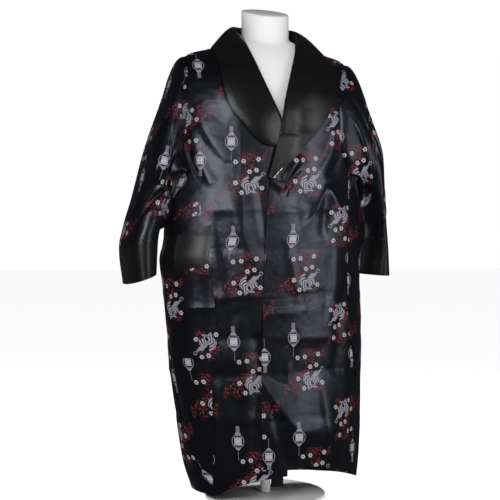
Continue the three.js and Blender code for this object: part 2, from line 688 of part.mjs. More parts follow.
// Dress form: level rings below the shoulders, rings that climb to the neck above them.
function formGeometry() {
  const rings = [];
  const ring = (make) => rings.push(Array.from({ length: FORM_SIDES }, (_, j) => {
    const angle = 2 * Math.PI * j / FORM_SIDES;
    return make(Math.sin(angle), -Math.cos(angle));
  }));
  for (const level of FORM_LEVELS) {
    ring((sx, sy) => point(level.half * sx, (sy < 0 ? level.front : level.back) * sy, level.z));
  }
  const top = FORM_LEVELS[FORM_LEVELS.length - 1];
  const shoulderTop = (x, y) => {
    const depth = y < 0 ? top.front : top.back;
    const across = Math.abs(x / top.half) ** FORM_SHOULDER_POWERS.across;
    const fade = Math.max(0, 1 - across - (y / depth) ** FORM_SHOULDER_POWERS.along);
    const cloth = topPoint(x, y + Math.sign(y) * Math.min(FORM_SIDE_EASE, Math.abs(y))).z;
    return lerp(top.z, cloth - FORM_UNDER_CLOTH, Math.sqrt(fade));
  };
  for (const part of FORM_SHOULDER_RINGS) {
    ring((sx, sy) => {
      const x = lerp(top.half, SHOULDER_RING_RADIUS, part) * sx;
      const y = lerp(sy < 0 ? top.front : top.back, SHOULDER_RING_RADIUS, part) * sy;
      const drop = part > NAPE_DROP.from && sy > 0 ? NAPE_DROP.drop : 0;
      return point(x, y, shoulderTop(x, y) - drop);
    });
  }
  ring((sx, sy) => {
    const x = NECK_FOOT_RADIUS * sx;
    const y = NECK_FOOT_RADIUS * sy;
    return point(x, y, shoulderTop(x, y) + NECK_FOOT_RISE);
  });
  for (const part of [0.5, 1]) {
    ring((sx, sy) => {
      const y = NECK_RADIUS * sy;
      const foot = shoulderTop(NECK_RADIUS * sx, y) + NECK_FOOT_RISE;
      return point(NECK_RADIUS * sx, y, lerp(foot, NECK_CUT_Z + NECK_CUT_SLOPE * y, part));
    });
  }
  const positions = rings.flat().flatMap((p) => [p.x, p.y, p.z]);
  const count = rings.length;
  positions.push(0, 0, FORM_LEVELS[0].z, 0, 0, NECK_CUT_Z);
  const low = count * FORM_SIDES;
  const index = [];
  for (let j = 0; j < FORM_SIDES; j += 1) {
    const next = (j + 1) % FORM_SIDES;
    for (let i = 0; i < count - 1; i += 1) {
      const a = i * FORM_SIDES + j;
      const b = i * FORM_SIDES + next;
      index.push(a, b, b + FORM_SIDES, a, b + FORM_SIDES, a + FORM_SIDES);
    }
    const topRow = (count - 1) * FORM_SIDES;
    index.push(low, next, j);
    index.push(low + 1, topRow + j, topRow + next);
  }
  return solid(positions, index);
}

function standing(geometry, z) {
  geometry.rotateX(Math.PI / 2);
  geometry.translate(0, 0, z);
  return geometry;
}

const kimono = new THREE.Group();
function add(name, geometry, material) {
  const mesh = new THREE.Mesh(geometry, material.clone());
  mesh.name = name;
  kimono.add(mesh);
}

const rightFront = frontRows('right');
const leftFront = frontRows('left');
const backPanel = backRows();
const rightLoop = armholeLoop(rightFront, backPanel, 'right');
const leftLoop = armholeLoop(leftFront, backPanel, 'left');

drawBack(rightFront, { first: true, top: true });
drawBack(leftFront, { first: true, top: true });
drawBack(backPanel, { first: true, last: true, top: true });
add('back', wall(backPanel), BROCADE);
add('front_right', wall(rightFront), BROCADE);
add('front_left', wall(leftFront, { inward: -1 }), BROCADE);

const rightSleeve = sleeveRows('right', SLEEVE_RIGHT, rightLoop);
const leftSleeve = sleeveRows('left', SLEEVE_LEFT, leftLoop);
const rightCuff = cuffRows('right', SLEEVE_RIGHT, rightLoop);
const leftCuff = cuffRows('left', SLEEVE_LEFT, leftLoop);
drawBack(rightSleeve, { top: true });
drawBack(leftSleeve, { top: true });
drawBack(rightCuff.reverse(), { top: true });
drawBack(leftCuff.reverse(), { top: true });
add('sleeve_right', wall(rightSleeve, { ring: true, inward: -1 }), BROCADE);
add('sleeve_left', wall(leftSleeve, { ring: true, inward: 1 }), BROCADE);
add('cuff_right', wall(rightCuff, { ring: true, inward: 1 }), SATIN);
add('cuff_left', wall(leftCuff, { ring: true, inward: -1 }), SATIN);

add('collar_right', wall(collarRows('right'), { inward: -1 }), SATIN);
add('collar_left', wall(collarRows('left'), { inward: 1 }), SATIN);

const pocketTop = (part) => lerp(POCKET_TOP.rearZ, POCKET_TOP.frontZ, part);
const bandFoot = (part) => pocketTop(part) - BAND_HEIGHT;
const pocketSeam = (part) => bandFoot(part) - 2 * SEAM_HALF_GAP;
add('pocket', wall(pocketRows(() => POCKET.bottomZ, pocketSeam, 6)), BROCADE);
add('pocket_band', wall(pocketRows(bandFoot, pocketTop, 4)), SATIN);
add('inner_tie', wall(tieRows(), { thickness: TIE.thickness }), SATIN);

add('form_torso', formGeometry(), WHITE_FORM);
const poleLength = FORM_LEVELS[0].z - BASE_HEIGHT - 2 * FIT_GAP;
const poleShape = new THREE.CylinderGeometry(POLE_RADIUS, POLE_RADIUS, poleLength, 24);
add('form_pole', standing(poleShape, BASE_HEIGHT + FIT_GAP + poleLength / 2), STAND);
const baseShape = new THREE.CylinderGeometry(BASE_RADIUS - BASE_TAPER, BASE_RADIUS, BASE_HEIGHT, 48);
add('form_base', standing(baseShape, BASE_HEIGHT / 2), STAND);

export default kimono;
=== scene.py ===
"""Silk kimono robe on a limbless dress form: fine surfaces, cloth finish, light and camera.

Lengths in the tables are millimetres. The wearer faces -Y and the wearer's right side is -X.
"""

import math

import bpy
import numpy as np
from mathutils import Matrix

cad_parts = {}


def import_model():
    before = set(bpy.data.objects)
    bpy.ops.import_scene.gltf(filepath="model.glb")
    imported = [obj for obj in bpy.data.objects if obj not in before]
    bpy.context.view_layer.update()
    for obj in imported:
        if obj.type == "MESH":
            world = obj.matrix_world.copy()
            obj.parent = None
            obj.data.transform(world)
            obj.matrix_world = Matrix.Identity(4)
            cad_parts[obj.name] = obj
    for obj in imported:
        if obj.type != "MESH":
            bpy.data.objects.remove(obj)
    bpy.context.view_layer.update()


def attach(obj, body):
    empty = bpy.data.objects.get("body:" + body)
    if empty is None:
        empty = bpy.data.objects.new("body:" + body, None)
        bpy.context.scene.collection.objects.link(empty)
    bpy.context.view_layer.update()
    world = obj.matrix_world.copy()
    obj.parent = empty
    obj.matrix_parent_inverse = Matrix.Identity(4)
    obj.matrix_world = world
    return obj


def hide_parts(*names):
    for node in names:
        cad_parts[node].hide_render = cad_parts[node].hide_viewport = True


THICKNESS = 1.0
SEAM_HALF_GAP = 0.08
LAYER = 2.5
COLLAR_LIFT = 3.3
UNDERARM_Z, CHEST_Z, FOLDS_END_Z = 800, 950, 900
BODY_POWER, SLEEVE_POWER = 2.25, 2.2

# Body: height, centre, half width, depth before and behind.
SECTIONS = (
    (20, 25, 208, 128, 120), (100, 17, 225, 130, 124), (246, 10, 239, 133, 128), (393, 3, 247, 135, 130),
    (510, -5, 249, 135, 130), (588, -9, 256, 134, 129), (650, 2, 257, 133, 127), (719, 1, 248, 131, 123),
    (800, -1, 236, 128, 118), (950, 0, 234, 124, 114),
)
RIDGE = ((0, 1150), (62, 1139), (110, 1118), (150, 1105), (190, 1094), (212, 1080), (235, 1055))
# Height, right side seam, left side seam.
SIDE_SEAMS = (
    (30, -155, 228), (131, -156, 231), (234, -159, 225), (337, -166, 206), (426, -174, 186),
    (588, -188, 183), (724, -186, 184), (800, -205, 192),
)
# Height, free edge of the front that lies under, and of the one that lies over.
FRONT_EDGES = (
    (30, 17, -42), (304, 17, -49), (494, 17, -45), (659, 17, -38), (778, 16, -25),
    (816, 15, -6), (850, 12, 5), (886, 2, 13), (930, -15, 20), (950, -24, 23),
)
NECK_HALF_WIDTH, BACK_NECK_DROP = 82, 36
SHOULDER_END = {"right": -205, "left": 208}
# Height, armhole on the right front, on the left front, angle on the back.
ARMHOLES = (
    (800, -205, 192, 56), (825, -214, 180, 78), (860, -219, 166, 97), (900, -217, 160, 108),
    (950, -211, 158, 114),
)
# Where the front that lies over stands off: X and Z between which it fades, and how much more.
OVER_X, OVER_FROM, OVER_TO, OVER_CLOSED, OVER_EXTRA = (34, 78), (750, 800), (940, 980), (950, 1010), 3.4
# Hem of each front and its half of the back: angle and height.
HEM_UNDER = ((-180, 32), (-90, 29), (-52, 27), (-40, 42), (-30, 53), (-14, 65), (5, 75))
HEM_OVER = ((-20, 90), (14, 92), (36, 75), (60, 55), (85, 38), (110, 33), (180, 32))
# Large folds of the body: angle, height, width, reach, depth, slant.
BODY_FOLDS = (
    (-112, 300, 11, 260, 7, 2), (-135, 350, 9, 300, -8, 1), (-154, 280, 11, 290, 8, -1),
    (176, 330, 9, 320, -8, 0),
    (152, 260, 11, 260, 9, 1), (130, 340, 9, 300, -7, -2), (108, 280, 11, 260, 6, -1),
    (62, 210, 10, 190, -6, 5),
    (22, 130, 12, 130, 5, 1), (-30, 200, 10, 170, 5, -2), (33, 735, 9, 60, 6, -12),
    (14, 700, 8, 55, -6, -10),
)
# Sleeves: place along, outer X and Z, inner X and Z, reach before and behind.
SLEEVES = {
    "right": (
        (0, -205, 1085, -236, 806, 66, 50), (0.15, -234, 1048, -250, 776, 86, 72),
        (0.35, -267, 962, -259, 735, 95, 86), (0.55, -303, 858, -265, 700, 100, 92),
        (0.75, -331, 748, -270, 668, 97, 94), (1, -364, 618, -275, 638, 93, 92),
        (1.33, -354, 530, -280, 556, 95, 94),
    ),
    "left": (
        (0, 208, 1085, 234, 806, 70, 50), (0.15, 233, 1040, 249, 776, 88, 76),
        (0.35, 262, 958, 258, 735, 94, 94),
        (0.55, 288, 874, 265, 700, 96, 104), (0.75, 296, 762, 270, 668, 94, 110),
        (1, 308, 630, 268, 640, 90, 114),
        (1.33, 317, 546, 258, 556, 86, 116),
    ),
}
SLEEVE_FOLDS = {
    "right": (
        (0.72, 75, 0.13, 55, -14, -0.004), (0.5, 80, 0.1, 55, 7, -0.004), (0.25, 95, 0.09, 40, -7, 0.003),
        (0.6, 265, 0.12, 55, -9, 0.004),
    ),
    "left": (
        (0.62, 70, 0.3, 16, -12, 0), (0.35, 110, 0.1, 40, -6, 0.003), (0.65, 262, 0.12, 50, -9, 0.004),
    ),
}
SLEEVE_BLEND_END, SLEEVE_ROW_SPREAD, CUFF_END = 0.3, 1.15, 1.33
TUBE_DEPTH, TUBE_BEND, TUBE_OUTER, TUBE_TURN = 92, 0.79, 50, (200, 350)
ARMHOLE_SEAM, ARMHOLE_LIFT, ARMHOLE_HALF, ARMHOLE_DEPTH = 1, 150, 236, 128
UNDERARM_EASE, UNDERARM_EASE_END, UNDERARM_EASE_POWER = 16, 0.42, 0.7
# Collar on the chest: fold line and outer edge.
LAPELS = {
    "right": (
        (12, 868, 5, 857), (7, 898, -34, 861), (-1, 930, -64, 883), (-16, 962, -91, 915),
        (-31, 994, -117, 948), (-43, 1022, -129, 988), (-57, 1062, -136, 1028), (-68, 1103, -139, 1062),
    ),
    "left": (
        (-29, 784, -22, 779), (-19, 818, 4, 807), (-10, 852, 36, 834), (-2, 886, 66, 865),
        (6, 928, 97, 898),
        (12, 962, 124, 935), (26, 1014, 150, 985), (36, 1046, 162, 1012), (51, 1086, 166, 1046),
    ),
}
# Collar round the neck: fold line in space, outer edge, foot.
NECK_COLLAR = (
    (77, -27, 1144, 142, -50, 68, -28), (81, 2, 1161, 140, -10, 72, 2), (73, 36, 1173, 129, 30, 63, 33),
    (51, 63, 1178, 97, 62, 44, 55), (26, 77, 1180, 51, 80, 23, 67), (0.3, 81, 1180, 0.3, 86, 0.3, 71),
)
COLLAR_FOOT_LIFT, COLLAR_ROLL_TUCK = 5, 3
COLLAR_STAND, COLLAR_FALL_START, COLLAR_FALL_STEPS = (0, 0.2, 0.4, 0.6, 0.8), (0, 0.02, 0.05, 0.09), 30
COLLAR_BULGE, COLLAR_BULGE_OUT, COLLAR_BULGE_UP = 7, 0.7, 0.5
POCKET_REAR, POCKET_TOP_FRONT, POCKET_LOW_FRONT, POCKET_BOTTOM_Z, POCKET_LIFT = -80, -38, -34, 355, 3
POCKET_TOP_REAR_Z, POCKET_TOP_FRONT_Z, BAND_HEIGHT = 633, 672, 92
BAND_SEAM_GAP, POCKET_MIDDLE_Z, POCKET_FULLNESS = 0.3, 510, 0.6
TIE_X, TIE_WIDTH, TIE_TOP_Z, TIE_END_Z, TIE_LEVEL_Z = -6, 30, 560, 47, 60
TIE_TOP_INSIDE, TIE_END_INSIDE = 2.3, 8
# Form: height, half width, depth before and behind.
FORM_LEVELS = (
    (520, 120, 86, 88), (535, 158, 104, 106), (620, 172, 108, 112), (720, 160, 100, 102),
    (800, 146, 98, 92), (880, 160, 104, 96), (960, 180, 104, 98), (1000, 186, 102, 96),
)
FORM_SIDES, FORM_FOOT_Z, FORM_EDGE_Z, FORM_SIDE_Z, FORM_TOP_Z, FORM_GAP = 96, 520, 536, 545, 1000, 4
# Neck of the form: rings that round its foot, by radius and rise.
NECK_STEPS = ((62.5, 0.2), (61, 1.2), (60, 3), (59, 7))
NECK_RADIUS, NECK_CUT_Z, NECK_CUT_SLOPE, SHOULDER_RING_RADIUS = 59, 1205, 0.36, 64
BASE_RADIUS, BASE_HEIGHT, BASE_ROUND = 150, 9, 4
POLE_RADIUS, POLE_EDGE, POLE_FOOT_Z, POLE_TOP_Z = 13, 1, 9.3, 519.7

# Turns at which the body is measured round: first, last and how many.
ROUND_TURNS = (-200, 380, 1160)
ROWS = {"skirt": 112, "armhole": 32, "shoulder": 64}
BACK_COLUMNS, FRONT_COLUMNS, SLEEVE_ROWS, CUFF_ROWS, COLLAR_ROWS = 220, 110, 170, 44, 200
POCKET_ROWS, BAND_ROWS, POCKET_COLUMNS, TIE_ROWS, TIE_COLUMNS = 90, 40, 70, 80, 12

# Where the creases fade out: none at the first value, all at the second.
FRONT_CREASES_END, BACK_CREASES_END = (1110, 1040), (1110, 1030)
SLEEVE_CREASES_START, SLEEVE_CREASES_END = (0.0, 0.12), (CUFF_END, 1.02)
COLLAR_CREASES_START, COLLAR_CREASES_END, COLLAR_STAND_WIDTH = (12, 24), (470, 380), 10
# Creases: start, end, bow, width, depth (ridge plus), 1 crisp or 2 soft, width on the other side.
# On the fronts the places are X and Z.
CREASES_FRONT_LEFT = (
    (-60, 500, 215, 507, 0, 12, -3.4, 1, 14), (-60, 460, 130, 478, 0, 34, 4.6, 1, 5),
    (-55, 404, 215, 398, 0, 14, 3.2, 1, 30), (-60, 312, 230, 322, 0, 12, -3.6, 1, 20),
    (-55, 309, 70, 150, 8, 9, 5.5, 1, 40), (-60, 205, 230, 214, 0, 12, -3.2, 1, 26),
    (-70, 182, 224, 196, 12, 50, 8, 2, 56), (-60, 318, 224, 326, 0, 46, -6, 2, 105),
    (-50, 610, 215, 622, 0, 12, -2.6, 1, 30), (-40, 700, 200, 716, 0, 10, 2.4, 1, 24),
    (-30, 778, 6, 752, -4, 7, 5, 2, 7), (6, 752, 56, 838, -8, 8, 5.5, 2, 9),
    (12, 740, 58, 812, -8, 6, -4, 2, 10),
    (120, 772, 60, 668, -6, 7, 5, 1, 18), (124, 768, 168, 700, 5, 8, 5, 1, 20),
    (118, 745, 112, 640, 0, 14, -5, 2, 14),
    (150, 900, 100, 800, -10, 10, 3.4, 2, 16), (165, 860, 120, 790, -8, 8, -3.4, 2, 12),
    (20, 640, 60, 470, 8, 14, 3.2, 2, 22), (150, 640, 120, 420, -8, 12, 3.4, 2, 26),
    (185, 560, 150, 300, 8, 14, -4, 2, 20), (40, 420, 30, 320, 4, 10, -3, 2, 14),
    (110, 300, 140, 90, 6, 12, 4, 2, 26),
    (200, 330, 170, 60, -8, 14, -4, 2, 16), (-20, 240, 20, 90, 4, 12, -3.5, 2, 20),
)
CREASES_FRONT_RIGHT = (
    (-230, 499, 20, 505, 0, 10, 3.0, 1, 14), (-230, 404, 20, 398, 0, 12, -3.0, 1, 20),
    (-230, 312, 20, 320, 0, 12, -3.2, 1, 18), (-230, 205, 20, 212, 0, 12, 3.0, 1, 26),
    (-230, 610, 20, 618, 0, 12, -2.4, 1, 26), (-200, 705, 0, 712, 0, 12, 2.4, 1, 20),
    (-205, 905, -160, 760, 12, 8, 4.5, 2, 16), (-212, 880, -175, 770, 10, 7, -4.5, 2, 10),
    (-195, 960, -120, 820, 14, 10, 3.4, 2, 22), (-150, 1040, -90, 900, 8, 14, 2.6, 2, 22),
    (-120, 760, -60, 560, 8, 16, 4.2, 2, 28), (-60, 780, -40, 640, -4, 12, -3.6, 2, 18),
    (-150, 700, -110, 480, 6, 14, -4, 2, 24), (-100, 460, -95, 250, 6, 14, 4.5, 2, 26),
    (-60, 420, -66, 130, -6, 14, -5, 2, 20), (-130, 340, -120, 90, 5, 14, -4, 2, 24),
    (-30, 300, -34, 90, 4, 12, 4, 2, 16),
    (-150, 300, -146, 60, 0, 12, 4, 2, 20), (-96, 1000, -92, 520, 0, 60, 3.6, 1, 22),
)
# On the back the places are the distance round from the middle of the back (left side plus) and Z.
CREASES_BACK = (
    (-400, 499, 400, 507, 0, 11, 3.0, 1, 14), (-400, 404, 400, 398, 0, 12, -3.2, 1, 22),
    (-400, 312, 400, 320, 0, 12, 3.0, 1, 18), (-400, 205, 400, 212, 0, 12, -3.0, 1, 26),
    (-400, 610, 400, 618, 0, 12, -2.6, 1, 26), (-380, 705, 380, 712, 0, 12, 2.6, 1, 20),
    (-230, 900, -120, 760, 12, 10, 4, 2, 18), (225, 890, 130, 770, -12, 10, 4, 2, 18),
    (-180, 980, -60, 860, 10, 14, 3, 2, 22), (180, 985, 70, 850, -10, 14, 3, 2, 22),
    (-90, 820, -60, 560, 8, 16, 4, 2, 26), (60, 800, 90, 540, -8, 16, 4, 2, 26),
    (0, 760, 10, 420, 6, 14, -4, 2, 22),
    (-200, 700, -170, 420, 6, 14, -4, 2, 22), (210, 700, 180, 430, -6, 14, -4, 2, 22),
    (-330, 560, -320, 250, 8, 14, 4, 2, 20), (320, 560, 330, 260, -8, 14, 4, 2, 20),
    (330, 420, 318, 120, 6, 12, -4, 2, 18),
    (-345, 440, -335, 90, 6, 12, -4, 2, 18),
)
# On the sleeves the places are the part along and the turn round (0 outer, 90 front, 180 inner).
# These two values scale them to about millimetres.
SLEEVE_MM = (480, 2.5)
CREASES_SLEEVE = {
    "right": (
        (0.30, 150, 0.93, 20, -12, 7, 5, 2, 34), (0.40, 142, 0.97, 18, -12, 70, -15, 1, 7),
        (0.16, 60, 0.36, 128, 6, 12, 4.5, 1, 20), (0.72, 110, 0.86, 60, 4, 12, 4, 2, 20),
        (0.10, 100, 0.28, 150, 6, 9, 3.5, 2, 14), (0.45, 20, 0.62, 80, 8, 20, 3.6, 2, 30),
        (0.35, 215, 0.9, 330, 10, 9, 6, 2, 40), (0.2, 300, 0.4, 230, -6, 14, 4, 1, 20),
        (0.6, 190, 0.72, 260, 4, 14, 3.5, 2, 24),
        (0.05, 174, 0.80, 168, 0, 50, 24, 2, 46),
    ),
    "left": (
        (0.30, 66, 0.72, 62, 2, 9, -9, 2, 7), (0.28, 76, 0.74, 72, 2, 10, 5, 2, 12),
        (0.26, 52, 0.7, 50, 2, 12, 4, 2, 12),
        (0.16, 60, 0.3, 128, 6, 12, 4, 1, 18), (0.70, 40, 0.84, 120, 4, 14, 4, 2, 20),
        (0.12, 110, 0.3, 150, 6, 9, 3, 2, 14),
        (0.35, 215, 0.85, 330, 10, 9, 5, 2, 34), (0.2, 300, 0.4, 230, -6, 14, 4, 1, 20),
        (0.6, 190, 0.76, 262, 4, 14, 3.5, 2, 24),
    ),
}
# On the collar the places are along (from the tip) and across (from the fold line).
CREASES_COLLAR = {
    "right": (
        (70, -20, 84, 110, 0, 44, 4.6, 2, 60), (262, -10, 276, 100, 0, 20, -1.2, 2, 30),
        (-20, 76, 300, 84, 0, 58, 6, 2, 24),
        (330, 10, 320, 100, 0, 16, -1.6, 2, 22), (30, 60, 330, 70, 6, 30, 1.0, 2, 30),
    ),
    "left": (
        (102, -24, 136, 120, 0, 44, 2.6, 1, 4), (250, -10, 262, 100, 0, 20, -1.2, 2, 30),
        (330, 10, 320, 100, 0, 16, -1.6, 2, 22), (150, 50, 330, 66, 6, 30, 0.8, 2, 30),
    ),
}
CREASES_POCKET = (
    (-200, 470, 200, 478, 0, 16, 3.4, 1, 26), (-60, 600, -90, 380, 6, 14, 3, 2, 18),
    (40, 580, 20, 370, -6, 12, -3, 2, 18),
)
CREASES_BAND = ((-18, 680, -10, 540, 4, 9, 3.5, 1, 12), (60, 680, 66, 540, 0, 14, -2, 2, 20))

# Woven picture: width and height of one repeat. Its second copy is turned half round.
TILE_WIDTH, TILE_HEIGHT = 250, 236
LANTERN_AT, CLUSTER_AT = (37, 140), (63, 62)
FLOWERS = ((-16, 30), (3, 32), (39, 37), (17, 7), (34, 11), (-17, -20), (46, -31), (-4, -43))
# Lantern: its radius, and half sizes of its parts with the distance of each from its centre.
LANTERN_RING, LANTERN_BLOCK, LANTERN_RIM = 14.2, (8.6, 9.4), 1.4
BAR_STEP, RUNG_STEP, MIDDLE_BAR = 3.9, 4.4, (6.5, 3.2)
CAP_AT, CAP_HALF, STEM_AT, LANTERN_STEM = 13.2, (6, 0.9), 28.5, (4.4, 8)
FLARE_AT, FLARE_HALF, FUNNEL_AT, FUNNEL_HALF, TAPER = 18.6, (7, 2.6), 19, (6, 3.6), 25
STRING_AT, STRING_HALF = 35, (0.5, 10)
RING_SHARE, CAP_SHARE, STEM_SHARE, TAPER_SHARE, STRING_SHARE = 0.45, 0.2, 0.3, 0.5, 0.4
FLOWER_RADIUS, PETAL_DEPTH, FLOWER_HEART, SEAM_FROM = 6.2, 1.6, 1.9, 2.2
# Bird: middle of its plume and of its body, their sizes, and the spacing of their stripes.
PLUME_AT, PLUME_RADIUS, PLUME_STEP, PLUME_CURL, PLUME_FILL = (19, -31), 23, 5.4, 1.6, 0.62
BODY_AT, BODY_HALF, BODY_SLIM, STRIPE_STEP = (34, -9), 4.6, 0.3, 2.4
CREST_AT, CREST_RADIUS, FOOT_AT, FOOT_HALF = (50, 2), 4, (26, -41), (5.5, 1.6)
# Twigs: reach of their band, and tufts by centre, squeeze both ways, radius and soft edge.
TWIG_BAND, TWIG_WIDE, TWIG_TOP, TWIG_SCALE, TWIG_HALF = 12, 52, 54, 0.17, 0.115
TUFTS = ((-22, -34, 1.2, 0.7, 15, 4), (34, -41, 0.9, 1, 11, 3), (14, 42, 0.6, 1.1, 13, 4))
SPECK_SCALE, SPECK_LEVEL, DRIFT_SCALE, DRIFT_DETAIL = 0.2, 0.515, 0.055, 0.6
# Where each cloth piece is cut from the woven picture.
CUT_FROM = {
    "front_left": (9, 210), "front_right": (155, 216), "back": (20, 30), "sleeve_right": (60, 96),
    "sleeve_left": (110, 20), "pocket": (100, 40),
}
# Thread colours, and the gloss of the silk.
SILK_BLACK, SATIN_BLACK = (0.0022, 0.0023, 0.003), (0.0035, 0.0035, 0.0038)
TWIG_RED, BIRD_GREY = (0.15, 0.0105, 0.0125), (0.26, 0.245, 0.29)
LANTERN_GREY, FLOWER_WHITE = (0.40, 0.38, 0.43), (0.38, 0.38, 0.39)
SILK_ROUGHNESS, FIGURE_ROUGHNESS, SILK_GLOSS, SATIN_GLOSS, ANISOTROPY = 0.33, 0.16, 0.7, 0.42, 0.3
SHEEN, SHEEN_ROUGHNESS, SHEEN_TINT, GLOSS_TINT = 0.02, 0.5, (0.55, 0.6, 0.8, 1), (0.78, 0.83, 1, 1)
# Relief of the cloth: scale and height of its waves, height of its grain.
SILK_WEAVE, SATIN_WEAVE, GRAIN_SCALE = (11, 0.0042, 0.0001), (10, 0.0016, 0.00006), 700
# Plain finishes: name, colour, roughness, gloss.
PLAIN = {
    # The thread finish is the white of the painted highlight dashes on the lapel edge.
    "thread": ("painted_highlight_white", (0.85, 0.85, 0.85), 0.7, 0.2),
    "form": ("form_skin", (0.7, 0.7, 0.7), 0.6, 0.2),
    "stand": ("stand_paint", (0.93, 0.93, 0.92), 0.4, 0.5),
}

# Cloth pieces of plain satin, by the start of their names.
SATIN_NODES = ("cuff", "collar", "pocket_band", "inner_tie")
# Painted highlight: white dashes along the edge of the lapel by its tip, made as thread, stand for the
# highlight on that edge. Start and end of each dash.
HIGHLIGHT_DASHES, HIGHLIGHT_DASH_COLUMN = ((4, 13), (15, 25), (27, 36)), -3
HIGHLIGHT_DASH_RADIUS, HIGHLIGHT_DASH_STEPS, HIGHLIGHT_DASH_SIDES = 0.7, 12, 10

# Camera: degrees, metres and millimetres of lens. Its aim passes beside the axis of the form.
CAMERA_YAW, CAMERA_RANGE, CAMERA_HEIGHT, CAMERA_LENS, AXIS_OFFSET = 16, 2.6, 0.612, 74.88, 0.0375
# Soft boxes: place, aim and size in metres, power in watts. The last one lights without a reflection.
LIGHTS = {
    "left_box": ((-1.5, -2.12, 1.17), (0, 0, 0.85), (1.1, 0.6), 18),
    "right_box": ((1.38, -2.2, 1.2), (0, 0, 0.85), (1.0, 0.6), 11),
    "low_box": ((1.6, -2.1, 0.3), (0, 0, 0.35), (1.0, 0.36), 5),
    "rear_box": ((0.7, 2.4, 1.3), (0, 0, 0.8), (1.6, 0.7), 30),
    "fill": ((-0.6, -2.4, 2.4), (0, 0, 0.8), (2.0, 1.6), 40),
}
ROOM_LIGHT, FLOOR_GLOW, FLOOR_HALF, FLOOR_Z = 0.02, 0.95, 30, -0.0006


def curve(rows, column=1):
    """Smooth reading of a table without overshoot."""
    xs = np.array([row[0] for row in rows], float)
    ys = np.array([row[column] for row in rows], float)
    secant = np.diff(ys) / np.diff(xs)
    slope = np.empty_like(ys)
    slope[0], slope[-1] = secant[0], secant[-1]
    before, after = secant[:-1], secant[1:]
    total = np.where(before * after > 0, before + after, 1)
    slope[1:-1] = np.where(before * after > 0, 2 * before * after / total, 0)

    def at(x):
        x = np.clip(np.asarray(x, float), xs[0], xs[-1])
        i = np.clip(np.searchsorted(xs, x, side="right") - 1, 0, len(xs) - 2)
        span = xs[i + 1] - xs[i]
        u = (x - xs[i]) / span
        rise = ys[i + 1] - ys[i]
        m0, m1 = slope[i] * span, slope[i + 1] * span
        return ys[i] + u * (m0 + u * (3 * rise - 2 * m0 - m1 + u * (m0 + m1 - 2 * rise)))

    return at


def lerp(a, b, t):
    return a + (b - a) * t


def smooth(x, low, high):
    t = np.clip((x - low) / (high - low), 0, 1)
    return t * t * (3 - 2 * t)


def power(value, exponent):
    return np.sign(value) * np.abs(value) ** exponent


def turned(angle):
    return np.mod(angle + 180, 360) - 180


def length(v):
    return np.sqrt((v * v).sum(-1, keepdims=True))


def unit(v):
    return v / np.maximum(length(v), 1e-9)


def run_along(points):
    """Distance along rows of points from the first of them."""
    steps = length(np.diff(points, axis=0))[..., 0]
    return np.concatenate([np.zeros_like(steps[:1]), np.cumsum(steps, axis=0)])


def stack(x, y, z):
    return np.stack(np.broadcast_arrays(x, y, z), -1).astype(float)


body_centre, body_half, body_front, body_back = (curve(SECTIONS, k) for k in (1, 2, 3, 4))
ridge = curve(RIDGE)
CHEST_HALF, CHEST_FRONT, CHEST_BACK = SECTIONS[-1][2:]


def fold_depth(angle, z):
    depth = 0
    for at, height, wide, tall, deep, slant in BODY_FOLDS:
        up = z - height
        off = turned(angle - at - slant * up / 100)
        depth = depth + deep * np.exp(-((off / wide) ** 2) - (up / tall) ** 2)
    return depth


def body_point(angle, z, out=0.0):
    """A point of the body below the chest line: angle in degrees from the front, height."""
    half = body_half(z)
    sine, cosine = np.sin(np.radians(angle)), np.cos(np.radians(angle))
    depth = np.where(cosine > 0, body_front(z), body_back(z))
    lean = 2 - 2 / BODY_POWER
    facing = unit(stack(power(sine, lean) / half, -power(cosine, lean) / depth, 0))
    push = fold_depth(angle, z) * (1 - smooth(z, UNDERARM_Z, FOLDS_END_Z)) + out
    place = stack(
        body_centre(z) + half * power(sine, 2 / BODY_POWER), -depth * power(cosine, 2 / BODY_POWER), z
    )
    return place + facing * np.expand_dims(push, -1)


def angle_at_x(x, z):
    reach = (x - body_centre(z)) / body_half(z)
    return np.degrees(np.arcsin(np.clip(power(reach, BODY_POWER / 2), -1, 1)))


def chest_depth(x, front):
    reach = np.minimum(1, np.abs(x / CHEST_HALF))
    return np.where(front, CHEST_FRONT, CHEST_BACK) * (1 - reach**BODY_POWER) ** (1 / BODY_POWER)


def shoulder_point(x, rise):
    angle = np.radians(rise)
    top = ridge(np.abs(x)) - CHEST_Z
    return stack(x, -chest_depth(x, rise < 90) * np.cos(angle), CHEST_Z + top * np.sin(angle))


def front_point(x, z):
    low = body_point(angle_at_x(x, np.minimum(z, CHEST_Z)), np.minimum(z, CHEST_Z))
    climb = np.clip((z - CHEST_Z) / (ridge(np.abs(x)) - CHEST_Z), 0, 1)
    high = shoulder_point(x, np.degrees(np.arcsin(climb)))
    return np.where(np.expand_dims(z <= CHEST_Z, -1), low, high)


def top_point(x, y):
    height = np.sqrt(np.maximum(0, 1 - (y / chest_depth(x, y < 0)) ** 2))
    return stack(x, y, CHEST_Z + (ridge(np.abs(x)) - CHEST_Z) * height)


def raised(place, a, b, out):
    across = place(a + 1.0, b) - place(a - 1.0, b)
    up = place(a, b + 1.0) - place(a, b - 1.0)
    return place(a, b) + unit(np.cross(across, up)) * np.expand_dims(out, -1)


def over_lift(x, z):
    """How far the left front and its collar stand off where they cross the right side."""
    level = smooth(z, *OVER_FROM) * (1 - smooth(z, *OVER_TO))
    closed = 1 - smooth(z, *OVER_CLOSED)
    return (1 - smooth(x, *OVER_X)) * (LAYER * closed + OVER_EXTRA * level)


